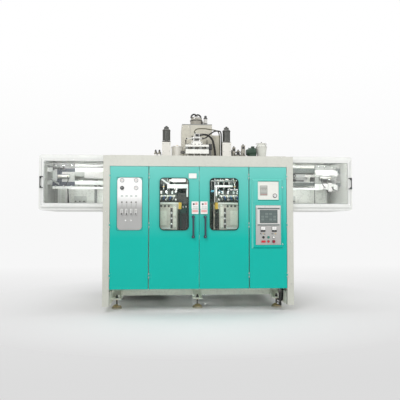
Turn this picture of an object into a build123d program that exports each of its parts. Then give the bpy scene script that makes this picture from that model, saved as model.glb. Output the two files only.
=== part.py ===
from build123d import *
import os

# Double-station extrusion blow moulding machine. Millimetres, X across the front, Y to the rear, Z up.
# The origin lies on the floor under the middle of the machine.
# Pieces are drawn on the right-hand side, X above zero, and mirrored to the left.

# Portal and frame
portal_half = 1430          # middle of the machine to the outside of a portal post
post_width = 97
tube_depth = 100
front_face = -1300          # front of the portal and of the closed door leaves
rear_face = 1300
frame_bottom = 100
base_bottom = 180           # underside of the cross beams
base_top = 290
roof = 2340
fascia_height = 160
stop_height = 60
stop_depth = 50
mullion_width = 50
cross_front = -700          # front of the front cross beam
base_tie_places = (440, 960)
base_tie_width = 80
cross_beam_places = (-1000, -350, 500)
deck_sheet = 12
deck_inset = 60
deck_hole_gap = 6
panel_sheet = 3
weld = 2                    # how far welded members run into each other
running_gap = 0.3           # moving pieces that pass close to a seat
overcut = 1                 # how far a cutter reaches past the face that it starts from

# Door leaves
door_bottom = 350
door_gap = 4
door_thick = 40
door_skin = 2.5
leaf_split = 750            # hinge axis between the outer and the inner leaf
edge_gap = 3                # leaf edge to its own hinge axis, and half the gap between the inner leaves
free_gap = 10.5             # free edge of the outer leaf to the hinge axis of the inner leaf
stop_gap = 2                # back of a closed leaf to its stop
strap_rises = (300, 700)
strap_height = 60
hinge_drop = 141            # top of the leaf to its upper hinge
hinge_rise = 202            # bottom of the leaf to its lower hinge
hinge_middle_rise = 37      # middle of the leaf to its middle hinge
hinge_out = 8               # hinge axis in front of the door face
knuckle_radius = 7
knuckle_length = 26
knuckle_gap = 0.5
pin_radius = 3.5
pin_clearance = 0.05
hinge_plate = 2.5
hinge_wing = 36
window_inset = 163          # inner leaf's free side to its window
window_width = 424
window_drop = 176           # top of the leaf to its window
window_height = 773
window_corner = 58
pane_lap = 14
pane_thick = 5
handle_x = 90
handle_rise = 758           # bottom of the leaf to its handle
handle_length = 330
handle_reach = 45
grip_radius = 14
mount_radius = 17

# Air panel on the left leaf
air_near = 855
air_width = 366
air_drop = 170              # top of the leaf to the panel
air_height = 780
air_corner = 58
plate_thick = 3
panel_lap = 15
gauge_radius = 31
gauge_depth = 14
gauge_rim = 5
gauge_lens_depth = 12
gauge_drops = (41, 155)     # top of the panel to the two rows of gauges
gauge_inset_far = 72        # outer side of the panel to the outer column
gauge_inset_near = 87
regulator_radius = 24
regulator_depth = 30
meter_count = 4
meter_inset = 71            # outer side of the panel to the first flow meter
meter_pitch = 69
meter_rise = 228            # bottom of the panel to the flow meters
meter_height = 84
meter_width = 30
meter_depth = 26
valve_radius = 11
valve_reach = 14
union_rise = 101            # top of a flow meter to its union
union_reach = 12
tag_rise = 92               # union to the tag above it
tag_width = 34
tag_height = 22
tag_thick = 2

# Operator console on the right leaf
pod_near = 790
pod_width = 480
pod_drop = 180              # top of the leaf to the console
pod_height = 1048
pod_proud = 30
pod_bevel = 26
pod_wall = 30
latch_radius = 9
latch_rise = 62
latch_drop = 126
recess_depth = 12
recess_floor = 6
upper_inset_near = 93       # edges of the pod to the recess of the upper panel
upper_inset_far = 65
upper_drop = 37
upper_height = 280
upper_fit = 2
display_inset = 31
display_width = 118
display_rise = 64
display_height = 154
display_proud = 8
display_rim = 8
display_depth = 3
lock_inset = 60
lock_rise = 63
lock_radius = 24
lock_depth = 8
lower_inset_near = 60       # edges of the pod to the lower plate
lower_inset_far = 40
lower_rise = 55
lower_height = 591
screen_inset_near = 21
screen_inset_far = 14
screen_drop = 33
screen_height = 268
screen_proud = 8
screen_rim_side = 38
screen_rim_low = 34
screen_dent = 2
screen_corner = 8
panel_meter_window = 72
panel_meter_height = 80
panel_meter_depth = 12
panel_meter_bevel = 4
panel_meter_insets = (108, 279)
panel_meter_rise = 235
trimmer_side = 12
trimmer_half_pitch = 26
trimmer_rise = 162
trimmer_depth = 6
button_rise = 113           # bottom of the lower plate to the upper row of buttons
alarm_rise = 50
button_insets = (114, 189, 269)
button_radius = 15
button_out = 10
button_travel = 5
halt_out = 12
emergency_radius = 20
emergency_out = 26
alarm_width = 62
stem_radius = 6
selector_width = 12
selector_depth = 10
bar_rise = 8                # how far the grip bar of a turning knob stands up
bar_inset = 3

# Wing guard boxes beside the machine
wing_out = 2400
wing_over = 20              # top of the wings above the roof
wing_height = 835
wing_front = -1165
wing_rear = -100
wing_sheet = 4
wing_corner = 35
wing_flange = 40
wing_post = 2290            # inner side of the post at the rear wall
wing_post_width = 38
wing_post_depth = 30
door_far_inset = 38         # outer side of the wing to the sliding door's opening
door_near = 1390
slide_rise = 65             # bottom of the wing to the sliding door
slide_drop = 61             # top of the wing to the sliding door
slide_set_back = 3
slide_thick = 22
slide_gap = 2               # sliding door to its frame at the top and the outer side
track_near = 600
track_height = 20
track_lip = 4
lip_reach = 10
pane_inset_near = 51
pane_inset_far = 44
pane_inset_low = 42
pane_inset_high = 41
pane_corner = 12
slide_pane = 4
rebate = 12
pull_rise = 270             # bottom of the sliding door to its pull handle
pull_length = 163
pull_past = 10              # how far the bar stands past the door's outer edge
pull_radius = 7
pull_reach = 24
pull_return = 34

# Take-out beams and carriages in the wings
beam_half = 40
beam_near = 1210
beam_end = 20
beam_high_depth = 83
beam_pitch = 210            # underside of the upper beam to the underside of the lower one
beam_low_depth = 66
takeout_near = 1960
takeout_width = 350
takeout_gap = 5
takeout_plate = 25
takeout_over = 50
shoe_inset = 20
shoe_depth = 32
mask_rise = 10              # top of the closed moulds to the neck mask
mask_near = 1150
mask_thick = 12
mask_reach = 50
arm_thick = 40
arm_lap = 60

# Mould carriages, clamps and blow stations
station = 495               # centre of the die head to the centre of a blow station
parting = -600              # plane in which the mould halves meet
rail_lines = (-850, -350)
bed_drop = 1200             # roof to the bed that carries the rails
rail_half = 760
rail_width = 30
rail_height = 28
rail_groove = 5
groove_low = 9
groove_high = 17
saddle_half = 45
saddle_width = 76
saddle_rise = 5
saddle_pitch = 120
bed_tie_near = 650
bed_tie_width = 100
carriage_half = 174
carriage_front = -1080
carriage_rear = -150
carriage_rise = 56          # bed to the carriage
base_plate = 30
end_height = 420
end_plate = 20
rear_plate = 40
cover_proud = 20
cover_lip = 4
lip_height = 26
cover_one = (12, 74)        # the two raised covers on the front plate, from its inner side
cover_two = 109
cover_two_rise = 14
cover_two_drop = 84
bolt_radius = 11
bolt_proud = 9
bolt_row = 134
bolt_row_pitch = 58
bolt_row_drop = 55
bolt_column = 91
bolt_column_rise = 90
bolt_column_pitch = 85
bar_radius = 20
bar_clearance = 0.1
bar_reach = 130
bar_rises = (64, 274)
platen_half = 170
platen_rise = 10
platen_thick = 50
mould_half = 168
mould_rise = 324            # underside of the platens to the mould halves
mould_height = 290
mould_thick = 110
open_gap = 100.15           # mould face to the parting plane with the clamp open
ram_rise = 169
clamp_rod = 25
clamp_rod_end = 15
cylinder_radius = 45
cylinder_gap = 20
cylinder_wall = 8
cavity_count = 4
cavity_pitch = 90
cavity_radius = 36
cavity_floor = 40
shoulder_drop = 70
neck_drop = 35
neck_radius = 16
buffer_gap = 16
buffer_length = 47
buffer_height = 101
buffer_depth = 40
buffer_bevel = 8
crosshead_half = 165
crosshead_depth = 40
crosshead_rise = 160        # top of the moulds to the crosshead
crosshead_thick = 30
pin_rise = 30               # top of the moulds to the raised blow pins
blow_pin = 12
guide_rod = 12
guide_reach = 110
blow_rod = 20
blow_rod_drop = 50
bore_end = 30
guide_block_depth = 190
guide_block_half = 140
guide_block_side = 60
block_half = 72
block_height = 298
barrel_height = 225
blow_cylinder_radius = 63
barrel_bevel = 18
cap_radius = 40
cap_height = 28
nipple_radius = 18
nipple_height = 20

# Die head
opening_half = 190
opening_depth = 140
plate_half = 185
head_front = -820
head_rear = -380
plate_rise = 91             # deck to the lower plate
plate_depth = 70
upper_plate_gap = 45
upper_plate_depth = 34
upper_plate_past = 3
upper_plate_front = 25
upper_plate_rear = 20
neck_half = 90
neck_height = 145
manifold_half = 170
manifold_depth = 110
manifold_drop = 40          # roof to the underside of the manifold
die_rise = 90               # top of the moulds to the dies
die_radius = 38
band_radius = 44
band_rises = (60, 190)
band_height = 70
head_bolts = 6
head_bolt_radius = 12
head_bolt_pitch = 60
head_bolt_inset = 48
pillar_radius = 14
pillar_inset = 30
pillar_places = (50, 150)
servo_height = 112
servo_half = 58
servo_depth = 60
servo_cap_height = 58
servo_cap_near = 34
servo_cap_far = 48
servo_cap_depth = 45
servo_port_level = 62
servo_port_radius = 20
servo_port_reach = 87
servo_port_front = 10
servo_shoulder = 30
stalk_radius = 6
stalk_reach = 160
plug_radius = 13
plug_length = 14

# Parison knife
knife_drop = 28             # dies to the blade
knife_thick = 4
knife_half = 185
blade_start = 45            # parting plane to the blade's front and rear edges
blade_end = 100
knife_arm = 20
knife_arm_thick = 16
knife_bar_start = 365
knife_bar_end = 395
knife_bar_height = 48
hanger_half = 40
slide_half = 55
slide_start = 350
slide_end = 410
slide_height = 40
knife_rail_half = 30
knife_rail_start = 150
knife_rail_end = 500
knife_rail_depth = 40

# Extruder on the deck
extruder_x = 24
axis_rise = 126             # deck to the barrel's axis
barrel_radius = 62
flange_radius = 92
flange_thick = 24
zone_starts = (-300, -60, 180)
zone_length = 180
zone_radius = 75
stand_near = 400
stand_thick = 40
screw_bore = 30
screw_clearance = 0.1
bore_start = 6
screw_tip_length = 40
screw_tip_radius = 4
screw_root = 22
screw_end_root = 27
taper_length = 320
tip_gap = 20
drive_length = 200
barrel_rear = 700
cover_near = -232
cover_far = 279
cover_front = -350
cover_rear = 350
cover_height = 658
cover_slot_half = 100
box_far = 430
box_height = 488
box_front_inset = 100
box_rear_inset = 80
gearbox_half = 190
gearbox_length = 300
gearbox_height = 240
gearbox_corner = 60
gearbox_foot = 40
gearbox_foot_thick = 25
motor_rise = 70
motor_length = 360
motor_radius = 135
cowl_length = 70
motor_waist = 8
fin_count = 28
fin_height = 14
fin_thick = 6
cowl_bevel = 16
terminal_half = 60
terminal_start = 80
terminal_length = 140
terminal_height = 50

# Hopper and vacuum loader over the extruder's throat
hopper_x = 60
hopper_y = 520
hopper_radius = 150
throat_side = 70
throat_half = 60
throat_near = 50
throat_height = 130
cone_height = 220
hopper_height = 180
loader_radius = 112
loader_height = 304
lid_height = 50
lid_radius = 78
filter_gap = 28
filter_radius = 34
filter_tip = 8
filter_low = 130
filter_body = 100
filter_cone = 64
filter_arm = 30

# Deck fittings
drum_x = -318
drum_y = -455
drum_radius = 92
drum_height = 264
drum_lid = 16
drum_lid_inset = 24
valve_near = 588
valve_far = 812
valve_front = 80            # parting plane to the front and rear of the valve plate
valve_plate_height = 88
valve_blocks = ((4, 48, 135), (76, 48, 80), (152, 60, 170))    # from the plate's inner side: start, width, height
valve_block_start = 30
valve_block_depth = 60
header_radius = 18
header_start = 42
header_inset = 30
left_valve_near = 580
left_valve_far = 695
left_valve_height = 113
left_valve_front = 120
left_valve_rear = 20
port_radius = 16
port_height = 30
port_inset = 27
pump_near = 868
pump_far = 986
pump_radius = 70
pump_rise = 148
pump_flange = 6
pump_taper = 48
pump_taper_radius = 42
pump_foot_inset = 12
pump_foot_half = 60
pump_foot_drop = 40
canister_x = 1080
canister_radius = 62
canister_base = 40
canister_low = 66
canister_high = 90
canister_height = 200
canister_lid = 60

# Hoses and cables
thick_hose = 14
thick_hose_port = 10        # top of the valve body to the axis of its outlet
thick_hose_out = 318
thick_hose_bend = 235
thin_hose = 7
long_hose_route = ((-20, 0, 0), (-20, 0, 68), (386, 20, 54))      # x, y past the parting plane, z over the cap
long_hose_bends = (45, 60)
short_hose_turn = 160
short_hose_route = ((250, -24, 38), (408, -24, 38))
short_hose_bends = (50, 60, 40)
loader_hose = 11
cable_radius = 13
loop_height = 55
loop_span = 80
loop_bend = 38
loop_places = ((-66, -30), (-14, 0))    # from the hopper's axis
bundle_y = -1010
bundle_top = 600
bundle_end = -560
bundle_bend = 110
bundle_rise = 12

# Oil tank between the base beams
tank_near = 420
tank_far = 1040
tank_front = -140
tank_rear = 560
tank_height = 470
pump_plate_near = 760
pump_plate_far = 980
pump_plate_front = 60
pump_plate_rear = 380
pump_plate_height = 40
oil_pump_radius = 105
oil_pump_front = 40
oil_pump_rear = 400
oil_pump_rise = 140
breather_x = 560
breather_radius = 40
breather_height = 50

# Rear and side sheets
sheet_rise = 20
sheet_drop = 10
side_sheet_gap = 8
vent_rows = 6
vent_drop = 640             # roof to the lowest air slot
vent_pitch = 60
vent_height = 22
vent_inset = 250

# Feet
foot_x = 1258
foot_y = 850
pad_radius = 80
pad_height = 20
foot_cap_inset = 12
foot_cap_cone = 24
foot_cap_top_radius = 30
foot_cap_top = 62
stud_radius = 12
stud_clearance = 1
stud_past = 62
nut_radius = 21
nut_height = 16
bracket_low = 150
bracket_thick = 16
bracket_front = 90
bracket_back = 14
middle_bracket_half = 75
gusset_inset = 8
gusset_thick = 12
gusset_front = 60
gusset_margin = 10

# Places that follow from the sizes
post_inside = portal_half - post_width
side_beam_low = roof - tube_depth
opening_top = roof - fascia_height
outer_axis = post_inside - edge_gap
hinge_y = front_face - hinge_out
hinge_half = 1.5 * knuckle_length
door_top = opening_top - door_gap
door_back = front_face + door_thick
hinge_heights = (door_top - hinge_drop, (door_top + door_bottom) / 2 + hinge_middle_rise, door_bottom + hinge_rise)
stop_front = door_back + stop_gap
stop_back = stop_front + stop_depth
opening_low = door_bottom + door_gap
window_near = window_inset
window_far = window_inset + window_width
window_high = door_top - window_drop
window_low = window_high - window_height
handle_low = door_bottom + handle_rise
handle_high = handle_low + handle_length
deck_top = roof + deck_sheet

air_far = air_near + air_width
air_high = door_top - air_drop
air_low = air_high - air_height
air_face = front_face - plate_thick
gauge_left = -air_far + gauge_inset_far
gauge_right = -air_near - gauge_inset_near
gauge_rows = (air_high - gauge_drops[0], air_high - gauge_drops[1])
gauge_places = ((gauge_left, gauge_rows[0]), (gauge_right, gauge_rows[0]), (gauge_right, gauge_rows[1]))
regulator_place = (gauge_left, gauge_rows[1])
meter_columns = [-air_far + meter_inset + meter_pitch * index for index in range(meter_count)]
meter_low = air_low + meter_rise
union_height = meter_low + meter_height + union_rise
tag_level = union_height + tag_rise

pod_far = pod_near + pod_width
pod_high = door_top - pod_drop
pod_low = pod_high - pod_height
pod_face = front_face - pod_proud
upper_face = pod_face + recess_depth
lower_face = pod_face - plate_thick
upper_near = pod_near + upper_inset_near
upper_far = pod_far - upper_inset_far
upper_high = pod_high - upper_drop
upper_low = upper_high - upper_height
lower_near = pod_near + lower_inset_near
lower_far = pod_far - lower_inset_far
lower_low = pod_low + lower_rise
lower_high = lower_low + lower_height
screen_near = lower_near + screen_inset_near
screen_far = lower_far - screen_inset_far
screen_high = lower_high - screen_drop
screen_low = screen_high - screen_height
panel_meter_places = [(lower_near + inset, lower_low + panel_meter_rise) for inset in panel_meter_insets]
lock_place = (upper_far - lock_inset, upper_low + lock_rise)
button_columns = [lower_near + inset for inset in button_insets]
selector_place = (button_columns[0], lower_low + button_rise)
start_place = (button_columns[1], lower_low + button_rise)
reset_place = (button_columns[2], lower_low + button_rise)
alarm_place = (button_columns[0], lower_low + alarm_rise)
halt_place = (button_columns[1], lower_low + alarm_rise)
emergency_place = (button_columns[2], lower_low + alarm_rise)
console_holes = (selector_place, start_place, reset_place, alarm_place, halt_place, emergency_place, lock_place)

wing_high = roof + wing_over
wing_low = wing_high - wing_height
door_far = wing_out - door_far_inset
slide_low = wing_low + slide_rise
slide_high = wing_high - slide_drop
slide_back = wing_front - slide_set_back
slide_front = slide_back - slide_thick
track_front = slide_front - running_gap - track_lip
pane_near = door_near + pane_inset_near
pane_far = door_far - pane_inset_far
pane_low = slide_low + pane_inset_low
pane_high = slide_high - pane_inset_high
pull_low = slide_low + pull_rise
pull_high = pull_low + pull_length
pull_out = door_far + pull_past

takeout_y = (parting - beam_half, parting + beam_half)
beam_high_level = side_beam_low - beam_high_depth
beam_low_level = beam_high_level - beam_pitch
beam_low_top = beam_low_level + beam_low_depth
takeout_far = takeout_near + takeout_width

rail_seat = roof - bed_drop
carriage_base = rail_seat + carriage_rise
carriage_deck = carriage_base + base_plate
end_top = carriage_deck + end_height
bar_levels = [carriage_deck + rise for rise in bar_rises]
ram_level = carriage_deck + ram_rise
platen_low = carriage_deck + platen_rise
mould_low = platen_low + mould_rise
mould_top = mould_low + mould_height
mask_low = mould_top + mask_rise
mask_length = cavity_count * cavity_pitch
clamp_open_front = parting - open_gap
clamp_open_rear = parting + open_gap
crosshead_low = mould_top + crosshead_rise
pin_tip = mould_top + pin_rise
guide_block_low = roof - guide_block_depth
block_top = deck_top + block_height
barrel_top = block_top + barrel_height

plate_low = deck_top + plate_rise
plate_high = plate_low + plate_depth
upper_plate_low = plate_high + upper_plate_gap
upper_plate_high = upper_plate_low + upper_plate_depth
neck_top = plate_high + neck_height
servo_top = neck_top + servo_height
die_low = mould_top + die_rise
manifold_low = roof - manifold_drop
knife_low = die_low - knife_drop
knife_rail_low = side_beam_low - knife_rail_depth

barrel_axis = deck_top + axis_rise
cover_top = deck_top + cover_height
gearbox_rear = barrel_rear + gearbox_length
motor_rear = gearbox_rear + motor_length
throat_top = barrel_axis + throat_height
hopper_seat = throat_top + cone_height + hopper_height
loader_top = hopper_seat + loader_height
drum_top = deck_top + drum_height
valve_plate_top = deck_top + valve_plate_height
pump_level = deck_top + pump_rise
tank_top = base_top + tank_height
vent_low = roof - vent_drop


def block(x0, x1, y0, y1, z0, z1):
    """A box between two opposite corners."""
    middle = Pos((x0 + x1) / 2, (y0 + y1) / 2, (z0 + z1) / 2)
    return middle * Box(abs(x1 - x0), abs(y1 - y0), abs(z1 - z0))


def rod_x(x0, x1, y, z, radius):
    return Pos((x0 + x1) / 2, y, z) * Rot(0, 90, 0) * Cylinder(radius, abs(x1 - x0))


def rod_y(x, y0, y1, z, radius):
    return Pos(x, (y0 + y1) / 2, z) * Rot(90, 0, 0) * Cylinder(radius, abs(y1 - y0))


def rod_z(x, y, z0, z1, radius):
    return Pos(x, y, (z0 + z1) / 2) * Cylinder(radius, abs(z1 - z0))


def plate(x0, x1, y0, y1, z0, z1, corner):
    """A plate that faces the front, with rounded corners."""
    outline = RectangleRounded(abs(x1 - x0), abs(z1 - z0), corner)
    sheet = extrude(outline, abs(y1 - y0) / 2, both=True)
    return Pos((x0 + x1) / 2, (y0 + y1) / 2, (z0 + z1) / 2) * Rot(90, 0, 0) * sheet


def other_side(shape):
    """The same piece on the other side of the machine."""
    return mirror(shape, about=Plane.YZ)


def group(*shapes):
    """Separate solids that share one file."""
    return Compound([solid for shape in shapes for solid in shape.solids()])


def save(name, shape):
    export_step(shape, f"parts/{name}.step")


def hinge_leaf(axis_x, height):
    """Moving half of a hinge on the face of a leaf that lies on the inner side of the axis."""
    short = knuckle_length / 2 - knuckle_gap / 2
    knuckle = rod_z(axis_x, hinge_y, height - short, height + short, knuckle_radius)
    wing_side = axis_x - knuckle_radius - overcut
    wing = block(axis_x - hinge_wing, wing_side, front_face - hinge_plate, front_face, height - hinge_half,
                 height + hinge_half)
    tongue = block(wing_side - weld, axis_x, front_face - hinge_plate, front_face, height - short, height + short)
    bore = rod_z(axis_x, hinge_y, height - short, height + short, pin_radius + pin_clearance)
    return wing + tongue + knuckle - bore


def hinge_ends(axis_x, height):
    """The two fixed knuckles of a hinge with the pin between them."""
    inner = knuckle_length / 2
    pin = rod_z(axis_x, hinge_y, height - hinge_half, height + hinge_half, pin_radius)
    low = rod_z(axis_x, hinge_y, height - hinge_half, height - inner, knuckle_radius)
    high = rod_z(axis_x, hinge_y, height + inner, height + hinge_half, knuckle_radius)
    return pin + low + high


def face_hinge(height):
    """Fixed half of a hinge screwed to the face of a portal post."""
    inner = knuckle_length / 2
    wing_side = outer_axis + knuckle_radius + overcut
    shape = block(wing_side, outer_axis + hinge_wing, front_face - hinge_plate, front_face, height - hinge_half,
                  height + hinge_half)
    shape += hinge_ends(outer_axis, height)
    for z0, z1 in ((height - hinge_half, height - inner), (height + inner, height + hinge_half)):
        shape += block(outer_axis, wing_side + weld, front_face - hinge_plate, front_face, z0, z1)
    return shape


def gap_hinge(height):
    """Fixed half of a hinge whose wing runs back through the gap between two leaves to the mullion."""
    inner = knuckle_length / 2
    x0 = leaf_split + knuckle_radius - hinge_plate
    x1 = leaf_split + knuckle_radius
    clear = hinge_y + knuckle_radius + overcut
    shape = block(x0, x1, clear, stop_front + weld, height - hinge_half, height + hinge_half)
    shape += hinge_ends(leaf_split, height)
    for z0, z1 in ((height - hinge_half, height - inner), (height + inner, height + hinge_half)):
        shape += block(x0, x1, hinge_y, clear + weld, z0, z1)
    return shape


def front_portal():
    """Posts, fascia, door stops, mullions and the fixed halves of all the door hinges."""
    mullion_near = leaf_split - mullion_width / 2
    mullion_far = leaf_split + mullion_width / 2
    top_stop = opening_top - stop_height
    track_seat = slide_high + slide_gap
    half = block(post_inside, portal_half, front_face, front_face + tube_depth, frame_bottom, roof)
    half += block(0, post_inside + weld, front_face, front_face + tube_depth, opening_top, roof)
    half += block(0, post_inside + weld, stop_front, stop_back, opening_low, opening_low + stop_height)
    half += block(0, post_inside + weld, stop_front, stop_back, top_stop, opening_top + weld)
    half += block(mullion_near, mullion_far, stop_front, stop_back, opening_low + stop_height - weld,
                  top_stop + weld)
    half += block(mullion_near, mullion_far, front_face + tube_depth - weld, track_front, track_seat,
                  track_seat + track_height)
    for height in hinge_heights:
        half += face_hinge(height) + gap_hinge(height)
    return half + other_side(half)


def door_pan(x0, x1, axis_x):
    """A folded sheet leaf, open at the back, with straps across its flanges and its hinge halves."""
    pan = block(x0, x1, front_face, door_back, door_bottom, door_top)
    pan -= block(x0 + door_skin, x1 - door_skin, front_face + door_skin, door_back + overcut,
                 door_bottom + door_skin, door_top - door_skin)
    for rise in strap_rises:
        level = door_bottom + rise
        pan += block(x0, x1, door_back - door_skin, door_back, level, level + strap_height)
    for height in hinge_heights:
        pan += hinge_leaf(axis_x, height)
    return pan


def safety_door():
    window = plate(window_near, window_far, front_face - overcut, front_face + door_skin + overcut, window_low,
                   window_high, window_corner)
    return door_pan(edge_gap, leaf_split - edge_gap, leaf_split) - window


def door_window():
    return plate(window_near - pane_lap, window_far + pane_lap, front_face + door_skin,
                 front_face + door_skin + pane_thick, window_low - pane_lap, window_high + pane_lap,
                 window_corner + pane_lap)


def door_handle():
    """A round grip on two stand-off mounts."""
    grip_y = front_face - handle_reach
    grip = rod_z(handle_x, grip_y, handle_low, handle_high, grip_radius)
    for level in (handle_low + mount_radius, handle_high - mount_radius):
        grip += rod_y(handle_x, grip_y, front_face, level, mount_radius)
    return grip


def cabinet_door():
    """The left outer leaf, drawn at the left, with the cut-out behind the air panel."""
    pan = other_side(door_pan(leaf_split + free_gap, outer_axis - edge_gap, outer_axis))
    return pan - plate(-air_far + panel_lap, -air_near - panel_lap, front_face - overcut,
                       front_face + door_skin + overcut, air_low + panel_lap, air_high - panel_lap,
                       air_corner - panel_lap)


def gauge_panel():
    sheet = plate(-air_far, -air_near, air_face, front_face, air_low, air_high, air_corner)
    return sheet - rod_y(regulator_place[0], air_face - overcut, front_face + overcut, regulator_place[1],
                         regulator_radius / 2 + running_gap)


def pressure_gauges():
    """Round gauge cases, each with its sunk dial."""
    gauges = []
    for x, z in gauge_places:
        case = rod_y(x, air_face - gauge_depth, air_face, z, gauge_radius)
        gauges.append(case - rod_y(x, air_face - gauge_depth - overcut, air_face - gauge_depth + gauge_lens_depth, z,
                                   gauge_radius - gauge_rim))
    return group(*gauges)


def flow_meters():
    """Four flow meters, each with its needle valve, and the push-in union and tag above it."""
    pieces = []
    for x in meter_columns:
        front = air_face - meter_depth
        body = block(x - meter_width / 2, x + meter_width / 2, front, air_face, meter_low, meter_low + meter_height)
        pieces.append(body + rod_y(x, front - valve_reach, front + weld, meter_low + valve_radius, valve_radius))
        pieces.append(rod_y(x, air_face - union_reach, air_face, union_height, valve_radius))
        pieces.append(block(x - tag_width / 2, x + tag_width / 2, air_face - tag_thick, air_face,
                            tag_level - tag_height / 2, tag_level + tag_height / 2))
    return group(*pieces)


def air_regulator_knob():
    x, z = regulator_place
    head = rod_y(x, air_face - regulator_depth, air_face - running_gap, z, regulator_radius)
    return head + rod_y(x, air_face - running_gap - weld, front_face + overcut, z, regulator_radius / 2)


def control_door():
    """The right outer leaf with the raised, bevelled console and the recess for the upper panel."""
    pod = block(pod_near, pod_far, pod_face, front_face + door_skin, pod_low, pod_high)
    pod = chamfer(pod.faces().sort_by(Axis.Y)[0].edges(), pod_bevel)
    pod -= block(upper_near, upper_far, pod_face - overcut, upper_face, upper_low, upper_high)
    door = door_pan(leaf_split + free_gap, outer_axis - edge_gap, outer_axis) + pod
    door -= block(pod_near + pod_wall, pod_far - pod_wall, upper_face + recess_floor,
                  front_face + door_skin + overcut, pod_low + pod_wall, pod_high - pod_wall)
    for level in (pod_low + latch_rise, pod_high - latch_drop):
        door += rod_y(pod_far - pod_proud / 2, front_face - pod_proud / 2, front_face, level, latch_radius)
    for x, z in console_holes:
        door -= rod_y(x, pod_face - overcut, front_face + door_skin + overcut, z, stem_radius + running_gap)
    return door


def control_panel():
    """The lower console plate with its small trimmers."""
    sheet = block(lower_near, lower_far, lower_face, pod_face, lower_low, lower_high)
    for x, z in console_holes:
        sheet -= rod_y(x, lower_face - overcut, pod_face + overcut, z, stem_radius + running_gap)
    low = lower_low + trimmer_rise - trimmer_side / 2
    for column, height in panel_meter_places:
        for side in (-1, 1):
            x = column + side * trimmer_half_pitch
            sheet += block(x - trimmer_side / 2, x + trimmer_side / 2, lower_face - trimmer_depth, pod_face, low,
                           low + trimmer_side)
    return sheet


def parison_controller():
    """The upper console panel with its display window."""
    sheet = block(upper_near + upper_fit, upper_far - upper_fit, upper_face - plate_thick, upper_face,
                  upper_low + upper_fit, upper_high - upper_fit)
    x0 = upper_near + display_inset
    x1 = x0 + display_width
    z0 = upper_low + display_rise
    z1 = z0 + display_height
    front = upper_face - display_proud
    sheet += block(x0, x1, front, upper_face, z0, z1)
    sheet -= block(x0 + display_rim, x1 - display_rim, front - overcut, front + display_depth, z0 + display_rim,
                   z1 - display_rim)
    return sheet - rod_y(lock_place[0], pod_face - overcut, upper_face + overcut, lock_place[1],
                         stem_radius + running_gap)


def touch_screen():
    bezel = plate(screen_near, screen_far, lower_face - screen_proud, lower_face, screen_low, screen_high,
                  screen_corner)
    return bezel - block(screen_near + screen_rim_side, screen_far - screen_rim_side,
                         lower_face - screen_proud - overcut, lower_face - screen_proud + screen_dent,
                         screen_low + screen_rim_low, screen_high - screen_rim_low)


def panel_meters():
    half = panel_meter_window / 2
    rise = panel_meter_height / 2
    cases = []
    for x, z in panel_meter_places:
        case = block(x - half, x + half, lower_face - panel_meter_depth, lower_face, z - rise, z + rise)
        cases.append(chamfer(case.faces().sort_by(Axis.Y)[0].edges(), panel_meter_bevel))
    return group(*cases)


def turn_knob(place, face, radius, depth):
    """A turning head with a grip bar across it, on a stem through the panel."""
    x, z = place
    head = rod_y(x, face - depth, face - running_gap, z, radius)
    stem = rod_y(x, face - running_gap - weld, front_face + door_skin, z, stem_radius)
    half = selector_width / 2
    return head + stem + block(x - half, x + half, face - depth - bar_rise, face - depth + weld,
                               z - radius + bar_inset, z + radius - bar_inset)


def button_stem(place):
    """The stem behind a button, set back by the button's travel."""
    x, z = place
    return rod_y(x, lower_face - button_travel - weld, front_face + door_skin - button_travel, z, stem_radius)


def push_button(place, radius, out):
    x, z = place
    return rod_y(x, lower_face - out, lower_face - button_travel, z, radius) + button_stem(place)


def alarm_button():
    """The wide lit button of the alarm."""
    x, z = alarm_place
    half = alarm_width / 2
    head = block(x - half, x + half, lower_face - halt_out, lower_face - button_travel, z - button_radius,
                 z + button_radius)
    return head + button_stem(alarm_place)


def wing_guard():
    """One guard box: folded shell, rear wall with its post, door tracks and the flange on the machine."""
    hidden = portal_half - 2 * wing_corner
    inner = wing_front + wing_sheet
    tray = plate(hidden, wing_out, wing_front, wing_rear, wing_low, wing_high, wing_corner)
    tray -= plate(hidden, wing_out - wing_sheet, inner, wing_rear - wing_sheet, wing_low + wing_sheet,
                  wing_high - wing_sheet, wing_corner - wing_sheet)
    tray -= block(hidden - overcut, portal_half, wing_front - overcut, wing_rear + overcut, wing_low - overcut,
                  wing_high + overcut)
    tray -= block(portal_half - overcut, door_far, wing_front - overcut, inner + overcut, slide_low, slide_high)
    flange = block(portal_half, portal_half + wing_sheet, wing_front, wing_rear, wing_low - wing_flange, wing_high)
    flange -= block(portal_half - overcut, portal_half + wing_sheet + overcut, wing_front + wing_flange,
                    wing_rear - wing_flange, wing_low + wing_flange, wing_high - wing_flange)
    flange -= block(portal_half - overcut, portal_half + wing_sheet + overcut, wing_front - overcut,
                    wing_front + wing_flange + overcut, slide_low, slide_high)
    box = tray + flange
    rear = wing_rear - wing_sheet
    box += block(wing_post, wing_post + wing_post_width, rear - wing_post_depth, rear + weld, wing_low + weld,
                 wing_high - weld)
    top = slide_high + slide_gap
    box += block(track_near, door_far, track_front, wing_front + weld, top, top + track_height)
    box += block(track_near, door_far, track_front, track_front + track_lip, top - lip_reach, top + weld)
    low = slide_low - running_gap
    box += block(track_near, door_far, track_front, wing_front + weld, low - track_height, low)
    box += block(track_near, door_far, track_front, track_front + track_lip, low - weld, low + lip_reach)
    return box


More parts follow.
